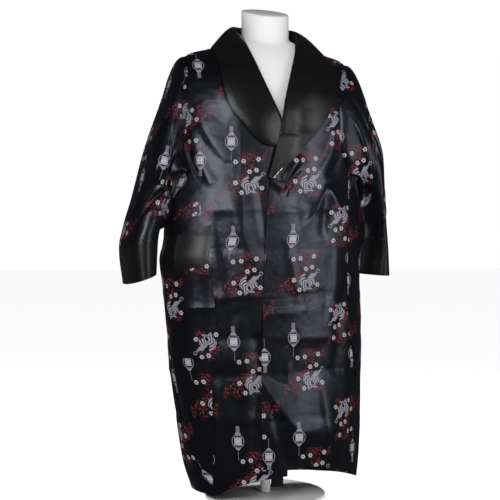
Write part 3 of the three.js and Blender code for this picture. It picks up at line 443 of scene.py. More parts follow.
def creased(u, v, table, scale=(1, 1)):
    """Heights of listed creases at places u, v."""
    u, v = u * scale[0], v * scale[1]
    height = np.zeros(np.broadcast(u, v).shape)
    for u0, v0, u1, v1, bow, wide, deep, sharp, other in table:
        u0, v0, u1, v1 = u0 * scale[0], v0 * scale[1], u1 * scale[0], v1 * scale[1]
        du, dv = u1 - u0, v1 - v0
        size = math.hypot(du, dv)
        t = ((u - u0) * du + (v - v0) * dv) / size**2
        side = 4 * np.clip(t, 0, 1) * (1 - np.clip(t, 0, 1))
        off = ((u - u0) * dv - (v - v0) * du) / size - bow * side
        span = np.where(off > 0, wide, other)
        height += deep * np.exp(-(np.abs(off / span) ** sharp)) * side**0.6
    return height


def slopes(grid, axis, ring):
    if ring and axis == 1:
        return np.roll(grid, -1, 1) - np.roll(grid, 1, 1)
    return np.gradient(grid, axis=axis, edge_order=2)


def facing_of(grid, inward, ring=False):
    return unit(np.cross(slopes(grid, 1, ring), slopes(grid, 0, ring))) * inward


def drawn_back(grid, first=False, last=False, top=False):
    grid = grid.copy()
    if first:
        grid[:, 0] += unit(grid[:, 1] - grid[:, 0]) * SEAM_HALF_GAP
    if last:
        grid[:, -1] += unit(grid[:, -2] - grid[:, -1]) * SEAM_HALF_GAP
    if top:
        grid[-1] += unit(grid[-2] - grid[-1]) * SEAM_HALF_GAP
    return grid


def shell(name, grid, uv, inward, closing):
    """A closed thin shell under the grid. For a tube, closing holds its last column of cloth places."""
    ring = closing is not None
    rows, columns = grid.shape[:2]
    facing = facing_of(grid, inward, ring)
    points = np.concatenate([grid, grid - facing * THICKNESS]).reshape(-1, 3) / 1000
    index = np.arange(rows * columns).reshape(rows, columns)
    if ring:
        index = np.concatenate([index, index[:, :1]], 1)
        uv = np.concatenate([uv, closing[:, None]], 1)
    places = np.arange(uv.shape[0] * uv.shape[1]).reshape(uv.shape[:2])

    def quads(index, inner):
        a, b, c, d = index[:-1, :-1], index[:-1, 1:], index[1:, 1:], index[1:, :-1]
        faces = [np.stack([a, b, c, d], -1), np.stack([a, d, c, b], -1) + inner]
        low, top = index[0], index[-1]
        faces.append(np.stack([low[:-1], low[:-1] + inner, low[1:] + inner, low[1:]], -1))
        faces.append(np.stack([top[:-1], top[1:], top[1:] + inner, top[:-1] + inner], -1))
        if not ring:
            left, right = index[:, 0], index[:, -1]
            faces.append(np.stack([left[:-1], left[1:], left[1:] + inner, left[:-1] + inner], -1))
            faces.append(np.stack([right[:-1], right[:-1] + inner, right[1:] + inner, right[1:]], -1))
        faces = np.concatenate([f.reshape(-1, 4) for f in faces])
        return faces[:, ::-1] if inward < 0 else faces

    spots = uv.reshape(-1, 2)[quads(places, 0)] / 1000
    return mesh_of(name, points, quads(index, rows * columns).tolist(), spots)


def mesh_of(name, points, faces, spots=None, crease_angle=60):
    mesh = bpy.data.meshes.new(name)
    mesh.from_pydata(np.asarray(points).tolist(), [], faces)
    mesh.polygons.foreach_set("use_smooth", np.ones(len(mesh.polygons), bool))
    if spots is not None:
        layer = mesh.uv_layers.new(name="UVMap")
        layer.data.foreach_set("uv", np.asarray(spots).astype(np.float32).ravel())
    mesh.set_sharp_from_angle(angle=math.radians(crease_angle))
    mesh.update()
    obj = bpy.data.objects.new(name, mesh)
    bpy.context.scene.collection.objects.link(obj)
    return obj


def round_body(angle, z):
    """Distance round the body from the middle of the front, at one height."""
    turns = np.linspace(*ROUND_TURNS)
    place = body_point(turns, np.full_like(turns, z))
    run = run_along(place)
    return np.interp(angle, turns, run) - np.interp(0, turns, run)


def round_chest(x, behind):
    turns = np.linspace(90, 270, 400) if behind else np.linspace(-90, 90, 400)
    place = body_point(turns, np.full_like(turns, CHEST_Z))
    run = round_body(turns, CHEST_Z)
    order = np.argsort(place[:, 0])
    return np.interp(x, place[order, 0], run[order])


def chest_spots(rows, behind):
    """Cloth places of rows above the chest line: round the chest, and up along the cloth."""
    heights = CHEST_Z + run_along(rows)
    return [np.stack([round_chest(row[:, 0], behind), z], -1) for row, z in zip(rows, heights)]


def front_panel(side):
    """Points of a front, its cloth places and the X and Z of its creases."""
    right = side == "right"
    edge = curve(FRONT_EDGES, 1 if right else 2)
    hem = curve(HEM_UNDER if right else HEM_OVER)
    seam = curve(SIDE_SEAMS, 1 if right else 2)
    arm = curve(ARMHOLES, 1 if right else 2)
    sign = -1 if right else 1
    w = np.linspace(0, 1, FRONT_COLUMNS)
    rows, spots = [], []

    def body_row(height, side_x):
        angle = np.zeros_like(w)
        z = np.broadcast_to(height(angle), w.shape)
        for _ in range(3):
            angle = lerp(angle_at_x(side_x(z), z), angle_at_x(edge(z), z), w)
            z = np.broadcast_to(height(angle), w.shape)
        rows.append(body_point(angle, z))
        spots.append(np.stack([round_body(angle, z.mean()), z], -1))

    for i in range(ROWS["skirt"]):
        up = i / ROWS["skirt"]
        body_row(lambda angle: lerp(hem(angle), UNDERARM_Z, up), seam)
    for i in range(ROWS["armhole"]):
        z = lerp(UNDERARM_Z, CHEST_Z, i / ROWS["armhole"])
        body_row(lambda angle: z, arm)
    arm_x, edge_x = arm(CHEST_Z), edge(CHEST_Z)
    start = body_point(lerp(angle_at_x(arm_x, CHEST_Z), angle_at_x(edge_x, CHEST_Z), w), CHEST_Z)[:, 0]
    part = (start - arm_x) / (edge_x - arm_x)
    end = lerp(SHOULDER_END[side], sign * NECK_HALF_WIDTH, part)
    chest_row = len(rows)
    for i in range(ROWS["shoulder"] + 1):
        rise = 90 * i / ROWS["shoulder"]
        x = lerp(start, end, math.sin(math.radians(rise)) ** lerp(2, 1, part))
        rows.append(shoulder_point(x, rise))
    grid = np.array(rows)
    spots += chest_spots(grid[chest_row:], False)
    flat = grid.copy()
    if not right:
        grid[..., 1] -= over_lift(grid[..., 0], grid[..., 2])
    return grid, np.array(spots), flat


def back_panel():
    rows, spots = [], []
    under, over = curve(HEM_UNDER), curve(HEM_OVER)
    left_seam, right_seam = curve(SIDE_SEAMS, 2), curve(SIDE_SEAMS, 1)
    w = np.linspace(0, 1, BACK_COLUMNS)

    def put(angle, z):
        z = np.broadcast_to(z, w.shape)
        rows.append(body_point(angle, z))
        spots.append(np.stack([round_body(angle, z.mean()), z], -1))

    for i in range(ROWS["skirt"]):
        up = i / ROWS["skirt"]
        angle = np.full_like(w, 180)
        for _ in range(3):
            bend = turned(angle)
            z = lerp(np.where(bend < 0, under(bend), over(bend)), UNDERARM_Z, up)
            angle = lerp(angle_at_x(left_seam(z), z), 360 + angle_at_x(right_seam(z), z), w)
        put(angle, z)
    first, last = ARMHOLES[0], ARMHOLES[-1]
    back = curve(ARMHOLES, 3)
    bottom_left, bottom_right = angle_at_x(first[2], first[0]), angle_at_x(first[1], first[0])

    def ends(z):
        part = (back(z) - first[3]) / (last[3] - first[3])
        return lerp(bottom_left, last[3], part), 360 + lerp(bottom_right, -last[3], part)

    for i in range(ROWS["armhole"]):
        z = lerp(UNDERARM_Z, CHEST_Z, i / ROWS["armhole"])
        put(lerp(*ends(z), w), z)
    angle = lerp(*ends(CHEST_Z), w)
    start = body_point(angle, np.full_like(w, CHEST_Z))[:, 0]
    part = (start - start[0]) / (start[-1] - start[0])
    end = lerp(SHOULDER_END["left"], SHOULDER_END["right"], part)
    top = 90 + BACK_NECK_DROP * np.maximum(0, 1 - (end / NECK_HALF_WIDTH) ** 2)
    chest_row = len(rows)
    for i in range(ROWS["shoulder"] + 1):
        up = i / ROWS["shoulder"]
        climb = math.sin(math.radians(90 * up)) ** 2
        rows.append(shoulder_point(lerp(start, end, climb), lerp(180, top, up)))
    grid = np.array(rows)
    spots += chest_spots(grid[chest_row:], True)
    return grid, np.array(spots)


def armhole_loop(front, back, side):
    low = ROWS["skirt"]
    edge = back[:, -1 if side == "right" else 0]
    top, bottom = (front[-1, 0] + edge[-1]) / 2, (front[low, 0] + edge[low]) / 2
    loop = np.concatenate([[top], front[-2:low:-1, 0], [bottom], edge[low + 1:-1]])
    along = unit(np.roll(loop, -1, 0) - np.roll(loop, 1, 0))
    inside = loop.mean(0) - loop
    inside = unit(inside - along * (inside * along).sum(-1, keepdims=True))
    return loop + inside * ARMHOLE_SEAM


def sleeve_ring(side, loop, s):
    out_x, out_z, in_x, in_z, front, back = (float(curve(SLEEVES[side], k)(s)) for k in range(1, 7))
    outer, inner = np.array([out_x, 0, out_z]), np.array([in_x, 0, in_z])
    turn = 360 * np.arange(len(loop)) / len(loop)
    sine, cosine = np.sin(np.radians(turn)), np.cos(np.radians(turn))
    depth = 0
    for at, around, wide, tall, deep, slant in SLEEVE_FOLDS[side]:
        off_turn = turned(turn - around)
        off = s - at - slant * off_turn
        depth = depth + deep * np.exp(-((off / wide) ** 2) - (off_turn / tall) ** 2)
    free = (outer + inner) / 2 + (outer - inner) / 2 * power(cosine, 2 / SLEEVE_POWER)[:, None]
    free[:, 1] -= power(sine, 2 / SLEEVE_POWER) * np.where(sine > 0, front, back) + np.sign(sine) * depth
    blend = smooth(s, 0, SLEEVE_BLEND_END)
    away = unit(stack(loop[:, 0] / ARMHOLE_HALF**2, loop[:, 1] / ARMHOLE_DEPTH**2, 0))
    low = np.maximum(0, -cosine) ** UNDERARM_EASE_POWER
    ease = UNDERARM_EASE * low * math.sin(math.pi * min(1, s / UNDERARM_EASE_END))
    return lerp(loop, free, blend) + away * (ARMHOLE_LIFT * s * (1 - blend) + ease)[:, None]


def tube_places(grid, side, turn):
    """Cloth places of a sleeve: round its axis from the underarm seam, and up along it from its end."""
    first, last = SLEEVES[side][0], SLEEVES[side][-1]
    top = np.array([(first[1] + first[3]) / 2, 0, (first[2] + first[4]) / 2])
    end = np.array([(last[1] + last[3]) / 2, 0, (last[2] + last[4]) / 2])
    axis = unit(end - top)
    sign = 1 if side == "right" else -1
    outward = np.array([axis[2], 0, -axis[0]]) * sign
    off = ((grid - top) * outward).sum(-1)
    along = ((end - grid) * axis).sum(-1)
    bend = TUBE_BEND * np.maximum(0, TUBE_DEPTH - np.abs(grid[..., 1])) * np.cos(np.radians(turn))
    front = -off - bend
    lean = lerp(TUBE_OUTER, off[:, :1], smooth(turn, *TUBE_TURN))
    behind = off + bend - 2 * (lean + TUBE_BEND * TUBE_DEPTH)
    low = len(turn) // 2
    places = np.stack([sign * np.where(turn < 180, front, behind), along], -1)
    closing = np.stack([sign * front[:, low], along[:, low]], -1)
    return np.roll(grid, -low, 1), np.roll(places, -low, 1), closing


def spline(stations, count):
    """Centripetal curves through rows of points, that end square to the middle of the back."""
    points = np.array(stations)
    points = np.concatenate([[2 * points[0] - points[1]], points, [points[-2] * [-1, 1, 1]]])
    rows = []
    last = len(stations) - 1
    for t in np.linspace(0, last, count + 1):
        i = min(int(t), last - 1)
        u = t - i
        p0, p1, p2, p3 = points[i:i + 4]
        d0, d1, d2 = (np.maximum(length(b - a), 1e-4) ** 0.5 for a, b in ((p0, p1), (p1, p2), (p2, p3)))
        m1 = ((p1 - p0) / d0 - (p2 - p0) / (d0 + d1) + (p2 - p1) / d1) * d1
        m2 = ((p2 - p1) / d1 - (p3 - p1) / (d1 + d2) + (p3 - p2) / d2) * d1
        rows.append(p1 + u * (m1 + u * (3 * (p2 - p1) - 2 * m1 - m2 + u * (2 * (p1 - p2) + m1 + m2))))
    return np.array(rows)


def collar(side):
    right = side == "right"
    sign = -1 if right else 1
    stand = np.array(COLLAR_STAND)
    fall = np.concatenate([COLLAR_FALL_START, np.linspace(0.13, 1, COLLAR_FALL_STEPS)])
    stations = []
    for roll_x, roll_z, edge_x, edge_z in LAPELS[side]:
        tuck = COLLAR_ROLL_TUCK / math.hypot(edge_x - roll_x, edge_z - roll_z)
        part = np.concatenate([-tuck * (1 - stand), fall])
        x, z = lerp(roll_x, edge_x, part), lerp(roll_z, edge_z, part)
        lift = COLLAR_LIFT + (0 if right else over_lift(x, z))
        stations.append(raised(front_point, x, z, lift * np.ones_like(x)))
    for roll_x, roll_y, roll_z, edge_x, edge_y, foot_x, foot_y in NECK_COLLAR:
        roll = np.array([sign * roll_x, roll_y, roll_z])
        edge = raised(top_point, np.array(sign * edge_x), np.array(float(edge_y)), np.array(COLLAR_LIFT))
        foot = top_point(np.array(sign * foot_x), np.array(float(foot_y))) + [0, 0, COLLAR_FOOT_LIFT]
        outward = unit((edge - roll) * [1, 1, 0])
        bulge = (COLLAR_BULGE * np.sin(np.pi * fall**0.6))[:, None]
        arch = lerp(roll, edge, fall[:, None]) + outward * bulge * COLLAR_BULGE_OUT
        arch = arch + np.array([0, 0, COLLAR_BULGE_UP]) * bulge
        stations.append(np.concatenate([lerp(foot, roll, stand[:, None]), arch]))
    grid = spline(stations, COLLAR_ROWS)
    across = np.concatenate([[0], np.cumsum(length(np.diff(grid, axis=1))[..., 0].mean(0))])
    along = run_along(grid[:, len(COLLAR_STAND)])
    return grid, np.stack(np.broadcast_arrays(across[None, :], along[:, None]), -1)


def lifted(grid, height, inward, ring=False):
    """The grid moved along its facing by the height at each of its points."""
    return grid + facing_of(grid, inward, ring) * height[..., None]


def front_cloth(side):
    grid, spots, flat = front_panel(side)
    inward = 1 if side == "right" else -1
    table = CREASES_FRONT_RIGHT if side == "right" else CREASES_FRONT_LEFT
    height = creased(flat[..., 0], flat[..., 2], table) * smooth(flat[..., 2], *FRONT_CREASES_END)
    return (lifted(grid, height, inward), spots, inward, None), flat


def back_cloth():
    flat, spots = back_panel()
    height = creased(spots[..., 0] - round_body(180, 500), spots[..., 1], CREASES_BACK)
    height = height * smooth(flat[..., 2], *BACK_CREASES_END)
    return (lifted(flat, height, 1), spots, 1, None), flat


def sleeve_and_cuff(side, loop):
    sleeve_s = (np.arange(SLEEVE_ROWS + 1) / SLEEVE_ROWS) ** SLEEVE_ROW_SPREAD
    every = np.concatenate([sleeve_s, np.linspace(1, CUFF_END, CUFF_ROWS + 1)[1:]])
    grid = np.array([sleeve_ring(side, loop, s) for s in every])
    grid[0] = loop
    turn = 360 * np.arange(len(loop)) / len(loop)
    inward = -1 if side == "right" else 1
    height = np.zeros(grid.shape[:2])
    for shift in (-360, 0, 360):
        height += creased(every[:, None], turn[None, :] + shift, CREASES_SLEEVE[side], SLEEVE_MM)
    height *= (smooth(every, *SLEEVE_CREASES_START) * smooth(every, *SLEEVE_CREASES_END))[:, None]
    grid, spots, closing = tube_places(lifted(grid, height, inward, True), side, turn)
    last = len(sleeve_s)
    sleeve = (grid[:last], spots[:last], inward, closing[:last])
    cuff = grid[last - 1:].copy()
    cuff[0] += unit(cuff[1] - cuff[0]) * BAND_SEAM_GAP
    return sleeve, (cuff, spots[last - 1:], inward, closing[last - 1:])


def collar_cloth(side):
    grid, spots = collar(side)
    inward = -1 if side == "right" else 1
    fall = smooth(spots[..., 0], *COLLAR_CREASES_START) * smooth(spots[..., 1], *COLLAR_CREASES_END)
    height = creased(spots[..., 1], spots[..., 0] - COLLAR_STAND_WIDTH, CREASES_COLLAR[side]) * fall
    return lifted(grid, height, inward), spots, inward, None


def pocket_cloth(low, high, rows, table):
    """A piece of the pocket between two rows of heights, from the rear to the front."""
    part = np.linspace(0, 1, len(low))
    z = lerp(low, high, np.linspace(0, 1, rows)[:, None])
    climb = (z - POCKET_BOTTOM_Z) / (POCKET_TOP_FRONT_Z - POCKET_BOTTOM_Z)
    angle = lerp(POCKET_REAR, lerp(POCKET_LOW_FRONT, POCKET_TOP_FRONT, climb), part)
    spots = np.stack([round_body(angle, POCKET_MIDDLE_Z), z], -1)
    height = creased(spots[..., 0] - spots[..., 0].mean(), spots[..., 1], table) + POCKET_FULLNESS
    return lifted(body_point(angle, z, POCKET_LIFT), height, 1), spots, 1, None


def tie_cloth():
    z = np.linspace(TIE_END_Z, TIE_TOP_Z, TIE_ROWS)[:, None]
    x = TIE_X + TIE_WIDTH * np.linspace(-0.5, 0.5, TIE_COLUMNS)[None, :]
    inside = lerp(TIE_END_INSIDE, TIE_TOP_INSIDE, np.linspace(0, 1, TIE_ROWS))[:, None]
    level = np.maximum(z, TIE_LEVEL_Z) + 0 * x
    tie = body_point(angle_at_x(x, z), level, -inside + 0 * x)
    tie[..., 2] = z
    return tie, tie[..., [0, 2]], 1, None


def build_cloth():
    """For each cloth piece its grid, its cloth places, its inner side and a tube's closing places."""
    made, flat = {}, {}
    for side in ("right", "left"):
        made[f"front_{side}"], flat[side] = front_cloth(side)
    made["back"], back = back_cloth()
    for side in ("right", "left"):
        loop = armhole_loop(flat[side], back, side)
        made[f"sleeve_{side}"], made[f"cuff_{side}"] = sleeve_and_cuff(side, loop)
        made[f"collar_{side}"] = collar_cloth(side)
    top = lerp(POCKET_TOP_REAR_Z, POCKET_TOP_FRONT_Z, np.linspace(0, 1, POCKET_COLUMNS))
    foot = top - BAND_HEIGHT
    bottom = np.full_like(top, POCKET_BOTTOM_Z)
    made["pocket"] = pocket_cloth(bottom, foot - BAND_SEAM_GAP, POCKET_ROWS, CREASES_POCKET)
    made["pocket_band"] = pocket_cloth(foot, top, BAND_ROWS, CREASES_BAND)
    made["inner_tie"] = tie_cloth()
    return made


def form_rings():
    angle = 2 * np.pi * np.arange(FORM_SIDES) / FORM_SIDES
    sx, sy = np.sin(angle), -np.cos(angle)
    half, front, back = (curve(FORM_LEVELS, k) for k in (1, 2, 3))
    rings = []
    foot, side = np.linspace(FORM_FOOT_Z, FORM_EDGE_Z, 8), np.linspace(FORM_SIDE_Z, FORM_TOP_Z, 50)
    for z in np.concatenate([foot, side]):
        rings.append(stack(half(z) * sx, np.where(sy < 0, front(z), back(z)) * sy, z))
    top_half, top_front, top_back = half(FORM_TOP_Z), front(FORM_TOP_Z), back(FORM_TOP_Z)

    def shoulder_top(x, y):
        depth = np.where(y < 0, top_front, top_back)
        fade = np.maximum(0, 1 - np.abs(x / top_half) ** 7 - (y / depth) ** 6)
        cloth = top_point(x, y + np.sign(y) * np.minimum(3, np.abs(y)))[..., 2]
        return lerp(FORM_TOP_Z, cloth - FORM_GAP, np.sqrt(fade))

    for part in np.linspace(0.02, 0.9, 30):
        x = lerp(top_half, SHOULDER_RING_RADIUS, part) * sx
        y = lerp(np.where(sy < 0, top_front, top_back), SHOULDER_RING_RADIUS, part) * sy
        rings.append(stack(x, y, shoulder_top(x, y) - np.where(sy > 0, smooth(part, 0.6, 0.8), 0)))
    for radius, rise in NECK_STEPS:
        rings.append(stack(radius * sx, radius * sy, shoulder_top(radius * sx, radius * sy) + rise))
    foot = shoulder_top(NECK_RADIUS * sx, NECK_RADIUS * sy) + NECK_STEPS[-1][1]
    cut = NECK_CUT_Z + NECK_CUT_SLOPE * NECK_RADIUS * sy
    for part in (0.3, 0.6, 0.9):
        rings.append(stack(NECK_RADIUS * sx, NECK_RADIUS * sy, lerp(foot, cut - 3, part)))
    for shrink, drop in ((0, 3), (0.9, 0.9), (3, 0)):
        radius = NECK_RADIUS - shrink
        rings.append(stack(radius * sx, radius * sy, NECK_CUT_Z + NECK_CUT_SLOPE * radius * sy - drop))
    return np.array(rings), np.array([[0, 0, FORM_FOOT_Z], [0, 0, NECK_CUT_Z]], float)


def turned_body(name, rings, ends):
    """A closed solid from rings of points and its two end points."""
    count, sides = rings.shape[:2]
    points = np.concatenate([rings.reshape(-1, 3), ends]) / 1000
    index = np.arange(count * sides).reshape(count, sides)
    index = np.concatenate([index, index[:, :1]], 1)
    around = np.stack([index[:-1, :-1], index[:-1, 1:], index[1:, 1:], index[1:, :-1]], -1)
    faces = around.reshape(-1, 4).tolist()
    low, high = count * sides, count * sides + 1
    faces += [[low, int(b), int(a)] for a, b in zip(index[0, :-1], index[0, 1:])]
    faces += [[high, int(a), int(b)] for a, b in zip(index[-1, :-1], index[-1, 1:])]
    return mesh_of(name, points, faces, crease_angle=35)


def painted_highlight_dashes(grid, inward):
    """Painted highlight: short white dashes like stitches on the outer edge of a collar, from its tip."""
    path = grid[:, HIGHLIGHT_DASH_COLUMN] + facing_of(grid, inward)[:, HIGHLIGHT_DASH_COLUMN] * HIGHLIGHT_DASH_RADIUS
    run = run_along(path)
    made = []
    for k, (start, end) in enumerate(HIGHLIGHT_DASHES):
        at = np.linspace(start, end, HIGHLIGHT_DASH_STEPS)
        line = np.stack([np.interp(at, run, path[:, axis]) for axis in range(3)], -1)
        along = unit(np.gradient(line, axis=0))
        side = unit(np.cross(along, [0, 1, 0]))
        up = np.cross(along, side)
        turn = np.linspace(0, 2 * math.pi, HIGHLIGHT_DASH_SIDES, endpoint=False)
        swell = HIGHLIGHT_DASH_RADIUS * np.minimum(1, 0.35 + 3 * np.sin(np.linspace(0, math.pi, HIGHLIGHT_DASH_STEPS)))
        ring = side[:, None] * np.cos(turn)[None, :, None] + up[:, None] * np.sin(turn)[None, :, None]
        rings = line[:, None] + ring * swell[:, None, None]
        made.append(turned_body(f"lapel_painted_highlight_{k + 1}", rings, line[[0, -1]]))
    return made


def lathe(name, profile, sides):
    angle = 2 * np.pi * np.arange(sides) / sides
    rings = np.array([stack(r * np.cos(angle), r * np.sin(angle), z) for r, z in profile])
    return turned_body(name, rings, np.array([[0, 0, profile[0][1]], [0, 0, profile[-1][1]]], float))


def material(name, color, roughness, **sockets):
    made = bpy.data.materials.new(name)
    made.use_nodes = True
    shader = made.node_tree.nodes["Principled BSDF"]
    shader.inputs["Base Color"].default_value = (*color, 1)
    shader.inputs["Roughness"].default_value = roughness
    for key, value in sockets.items():
        shader.inputs[key.replace("_", " ")].default_value = value
    return made


class Value:
    """A number of a shader graph, with arithmetic."""

    tree = None

    def __init__(self, socket):
        self.socket = socket

    def node(self, operation, *others):
        step = Value.tree.nodes.new("ShaderNodeMath")
        step.operation = operation
        for k, item in enumerate((self, *others)):
            if isinstance(item, Value):
                Value.tree.links.new(item.socket, step.inputs[k])
            else:
                step.inputs[k].default_value = item
        return Value(step.outputs[0])

    def __add__(self, other):
        return self.node("ADD", other)

    def __sub__(self, other):
        return self.node("SUBTRACT", other)

    def __mul__(self, other):
        return self.node("MULTIPLY", other)

    def less(self, other, edge):
        """1 where this is less than other, with a soft edge of that width."""
        gap = self - other
        return (gap * (-1 / edge)).node("ADD", 0.5).clamped()

    def clamped(self):
        step = self.node("ADD", 0)
        step.socket.node.use_clamp = True
        return step

    def abs(self):
        return self.node("ABSOLUTE")

    def low(self, other):
        return self.node("MINIMUM", other)

    def high(self, other):
        return self.node("MAXIMUM", other)


def choose(low, high, share):
    """low where share is 0, high where it is 1."""
    return (high - low) * share + low


def distance(a, b):
    return (a * a + b * b).node("SQRT")


def box_mask(a, b, half_a, half_b, soft=0.8):
    return a.abs().less(half_a, soft) * b.abs().less(half_b, soft)


def stripes(place, step, level):
    """1 on the stripes of a row with that half step, 0 between them."""
    return (place * (math.pi / step)).node("COSINE").abs().node("GREATER_THAN", level)


def within(a, reach):
    """1 where a is inside the reach on both sides."""
    return reach.node("SUBTRACT", a.abs()).node("GREATER_THAN", 0)


def lantern_mask(a, b):
    """A round lantern with a lattice, its stem above it and a string below, from its centre."""
    radius = distance(a, b * 0.9)
    ring = (radius - LANTERN_RING).abs().less(0.8, 0.7)
    inside = radius.less(LANTERN_RING - LANTERN_RIM, 0.7)
    bars = stripes(a, BAR_STEP, 0.34).high(box_mask(a, b, *MIDDLE_BAR, 0.5))
    rungs = stripes(b.abs() - RUNG_STEP, RUNG_STEP, 0.3)
    block = box_mask(a, b, *LANTERN_BLOCK) * (bars * rungs * 0.85 + 0.15) * inside
    cap = (b.abs() - CAP_AT).abs().less(CAP_HALF[1], 0.6) * a.abs().less(CAP_HALF[0], 0.8) * inside
    stem = box_mask(a, b - STEM_AT, *LANTERN_STEM) * STEM_SHARE
    flare = within(a, b * -1.0 + TAPER) * box_mask(a, b - FLARE_AT, *FLARE_HALF)
    funnel = within(a, b * 1.1 + TAPER) * box_mask(a, b + FUNNEL_AT, *FUNNEL_HALF)
    string = box_mask(a, b + STRING_AT, *STRING_HALF) * STRING_SHARE
    round_part = block.high(ring * RING_SHARE).high(cap * CAP_SHARE)
    return round_part.high(stem).high(flare * TAPER_SHARE).high(funnel * TAPER_SHARE).high(string)


def flower_mask(p, q):
    """Six-petalled flowers at their places round the middle of the cluster."""
    near, fx, fy = None, None, None
    for cx, cy in FLOWERS:
        dx, dy = p - cx, q - cy
        far = dx * dx + dy * dy
        if near is None:
            near, fx, fy = far, dx, dy
            continue
        closer = far.node("LESS_THAN", near)
        near = near.low(far)
        fx, fy = choose(fx, dx, closer), choose(fy, dy, closer)
    petal = (fy.node("ARCTAN2", fx) * 3).node("SINE").abs()
    radius = near.node("SQRT")
    flower = (radius + petal * PETAL_DEPTH - FLOWER_RADIUS).less(0, 0.7)
    heart = radius.less(FLOWER_HEART, 0.8)
    seam = petal.node("GREATER_THAN", 0.9) * radius.node("GREATER_THAN", SEAM_FROM)
    return flower * (heart * -0.9 + 1) * (seam * -0.75 + 1)


def bird_mask(p, q, drift_p, drift_q):
    """A bird with a curled plume of stripes, a long body, a crest and a foot, a little uneven."""
    cx, cy = p - PLUME_AT[0] + drift_p * 10, q - PLUME_AT[1] + drift_q * 10
    sweep = distance(cx, cy * 1.15)
    curl = cy.node("ARCTAN2", cx) * PLUME_CURL
    plume = ((sweep + curl) * (1 / PLUME_STEP)).node("FRACT").node("LESS_THAN", PLUME_FILL)
    open_side = (cx * 0.8 - cy * 1.2 - 12).less(0, 4)
    plume = plume * (sweep + drift_q * 24).less(PLUME_RADIUS, 2) * (sweep * -1).less(-4, 1) * open_side
    bx, by = p - BODY_AT[0], q - BODY_AT[1]
    along = bx * 0.88 + by * 0.47 + drift_q * 10
    beside = by * 0.88 - bx * 0.47 + drift_p * 14
    body = distance(along * BODY_SLIM, beside).less(BODY_HALF, 0.8)
    stripe = (beside * (math.pi / STRIPE_STEP) + along * 0.12).node("COSINE").abs()
    stripe = stripe.node("GREATER_THAN", 0.5) * 0.75 + 0.25
    crest = (distance(p - CREST_AT[0], q - CREST_AT[1]) - CREST_RADIUS).abs().less(1.0, 0.6)
    crest = crest * (p - q - 47).less(6, 2)
    foot = box_mask((p - FOOT_AT[0]) + (q + 42) * 0.4, q - FOOT_AT[1], *FOOT_HALF, 1.5)
    return (plume * 0.95).high(body * stripe * 0.95).high(crest * 0.7).high(foot * 0.8)


def plane_texture(tree, a, b, kind, scale, **settings):
    """A texture of the plane with places a and b."""
    spot = tree.nodes.new("ShaderNodeCombineXYZ")
    tree.links.new(a.socket, spot.inputs[0])
    tree.links.new(b.socket, spot.inputs[1])
    made = tree.nodes.new(kind)
    for key, value in settings.items():
        setattr(made, key, value)
    made.inputs["Scale"].default_value = scale
    tree.links.new(spot.outputs[0], made.inputs["Vector"])
    return made


def twig_mask(tree, p, q, cloud, drift_p):
    """Fine branches that lean one way, in one band across the cluster and three tufts beside it."""
    lean_p, lean_q = (p * 0.8 + q * 0.6) * 0.5, (q * 0.8 - p * 0.6) * 1.15 + drift_p * 14
    cells = plane_texture(tree, lean_p, lean_q, "ShaderNodeTexVoronoi", TWIG_SCALE, voronoi_dimensions="2D")
    cells.feature = "DISTANCE_TO_EDGE"
    speck = plane_texture(tree, p, q, "ShaderNodeTexNoise", SPECK_SCALE, noise_dimensions="2D")
    fork = (p * 0.75 - (q + 4)).abs() + (cloud - 0.5) * 44
    reach = fork.less(TWIG_BAND, 5) * (p.abs() - 4).less(TWIG_WIDE, 6) * q.less(TWIG_TOP, 4)
    for x, y, squeeze_x, squeeze_y, radius, soft in TUFTS:
        reach = reach.high(distance((p - x) * squeeze_x, (q - y) * squeeze_y).less(radius, soft))
    branches = Value(cells.outputs["Distance"]).less(TWIG_HALF, 0.07)
    broken = Value(speck.outputs["Fac"]).less(SPECK_LEVEL, 0.06)
    return branches * broken * reach


def print_graph(tree):
    """Masks of the woven picture: lantern, bird, flower and twig, from cloth places."""
    Value.tree = tree
    place = tree.nodes.new("ShaderNodeUVMap")
    place.uv_map = "UVMap"
    split = tree.nodes.new("ShaderNodeSeparateXYZ")
    tree.links.new(place.outputs["UV"], split.inputs[0])
    wide = (Value(split.outputs[0]) * 1000).node("FLOORED_MODULO", TILE_WIDTH)
    tall = (Value(split.outputs[1]) * 1000).node("FLOORED_MODULO", TILE_HEIGHT)
    other = wide.node("GREATER_THAN", TILE_WIDTH / 2)
    x = wide + other * (wide * -2 + TILE_WIDTH)
    y = tall + other * (tall * -2 + TILE_HEIGHT)
    p, q = x - CLUSTER_AT[0], y - CLUSTER_AT[1]

    uneven = plane_texture(tree, p, q, "ShaderNodeTexNoise", DRIFT_SCALE, noise_dimensions="2D")
    uneven.inputs["Detail"].default_value = DRIFT_DETAIL
    parts = tree.nodes.new("ShaderNodeSeparateColor")
    tree.links.new(uneven.outputs["Color"], parts.inputs[0])
    drift_p, drift_q = (Value(parts.outputs[k]) - 0.5 for k in (1, 2))
    return (
        lantern_mask(x - LANTERN_AT[0], y - LANTERN_AT[1]), bird_mask(p, q, drift_p, drift_q),
        flower_mask(p, q), twig_mask(tree, p, q, Value(uneven.outputs["Fac"]), drift_p),
    )


def tinted(tree, base, color, share):
    mixed = tree.nodes.new("ShaderNodeMix")
    mixed.data_type = "RGBA"
    tree.links.new(share.clamped().socket, mixed.inputs["Factor"])
    if isinstance(base, tuple):
        mixed.inputs["A"].default_value = (*base, 1)
    else:
        tree.links.new(base, mixed.inputs["A"])
    mixed.inputs["B"].default_value = (*color, 1)
    return mixed.outputs["Result"]


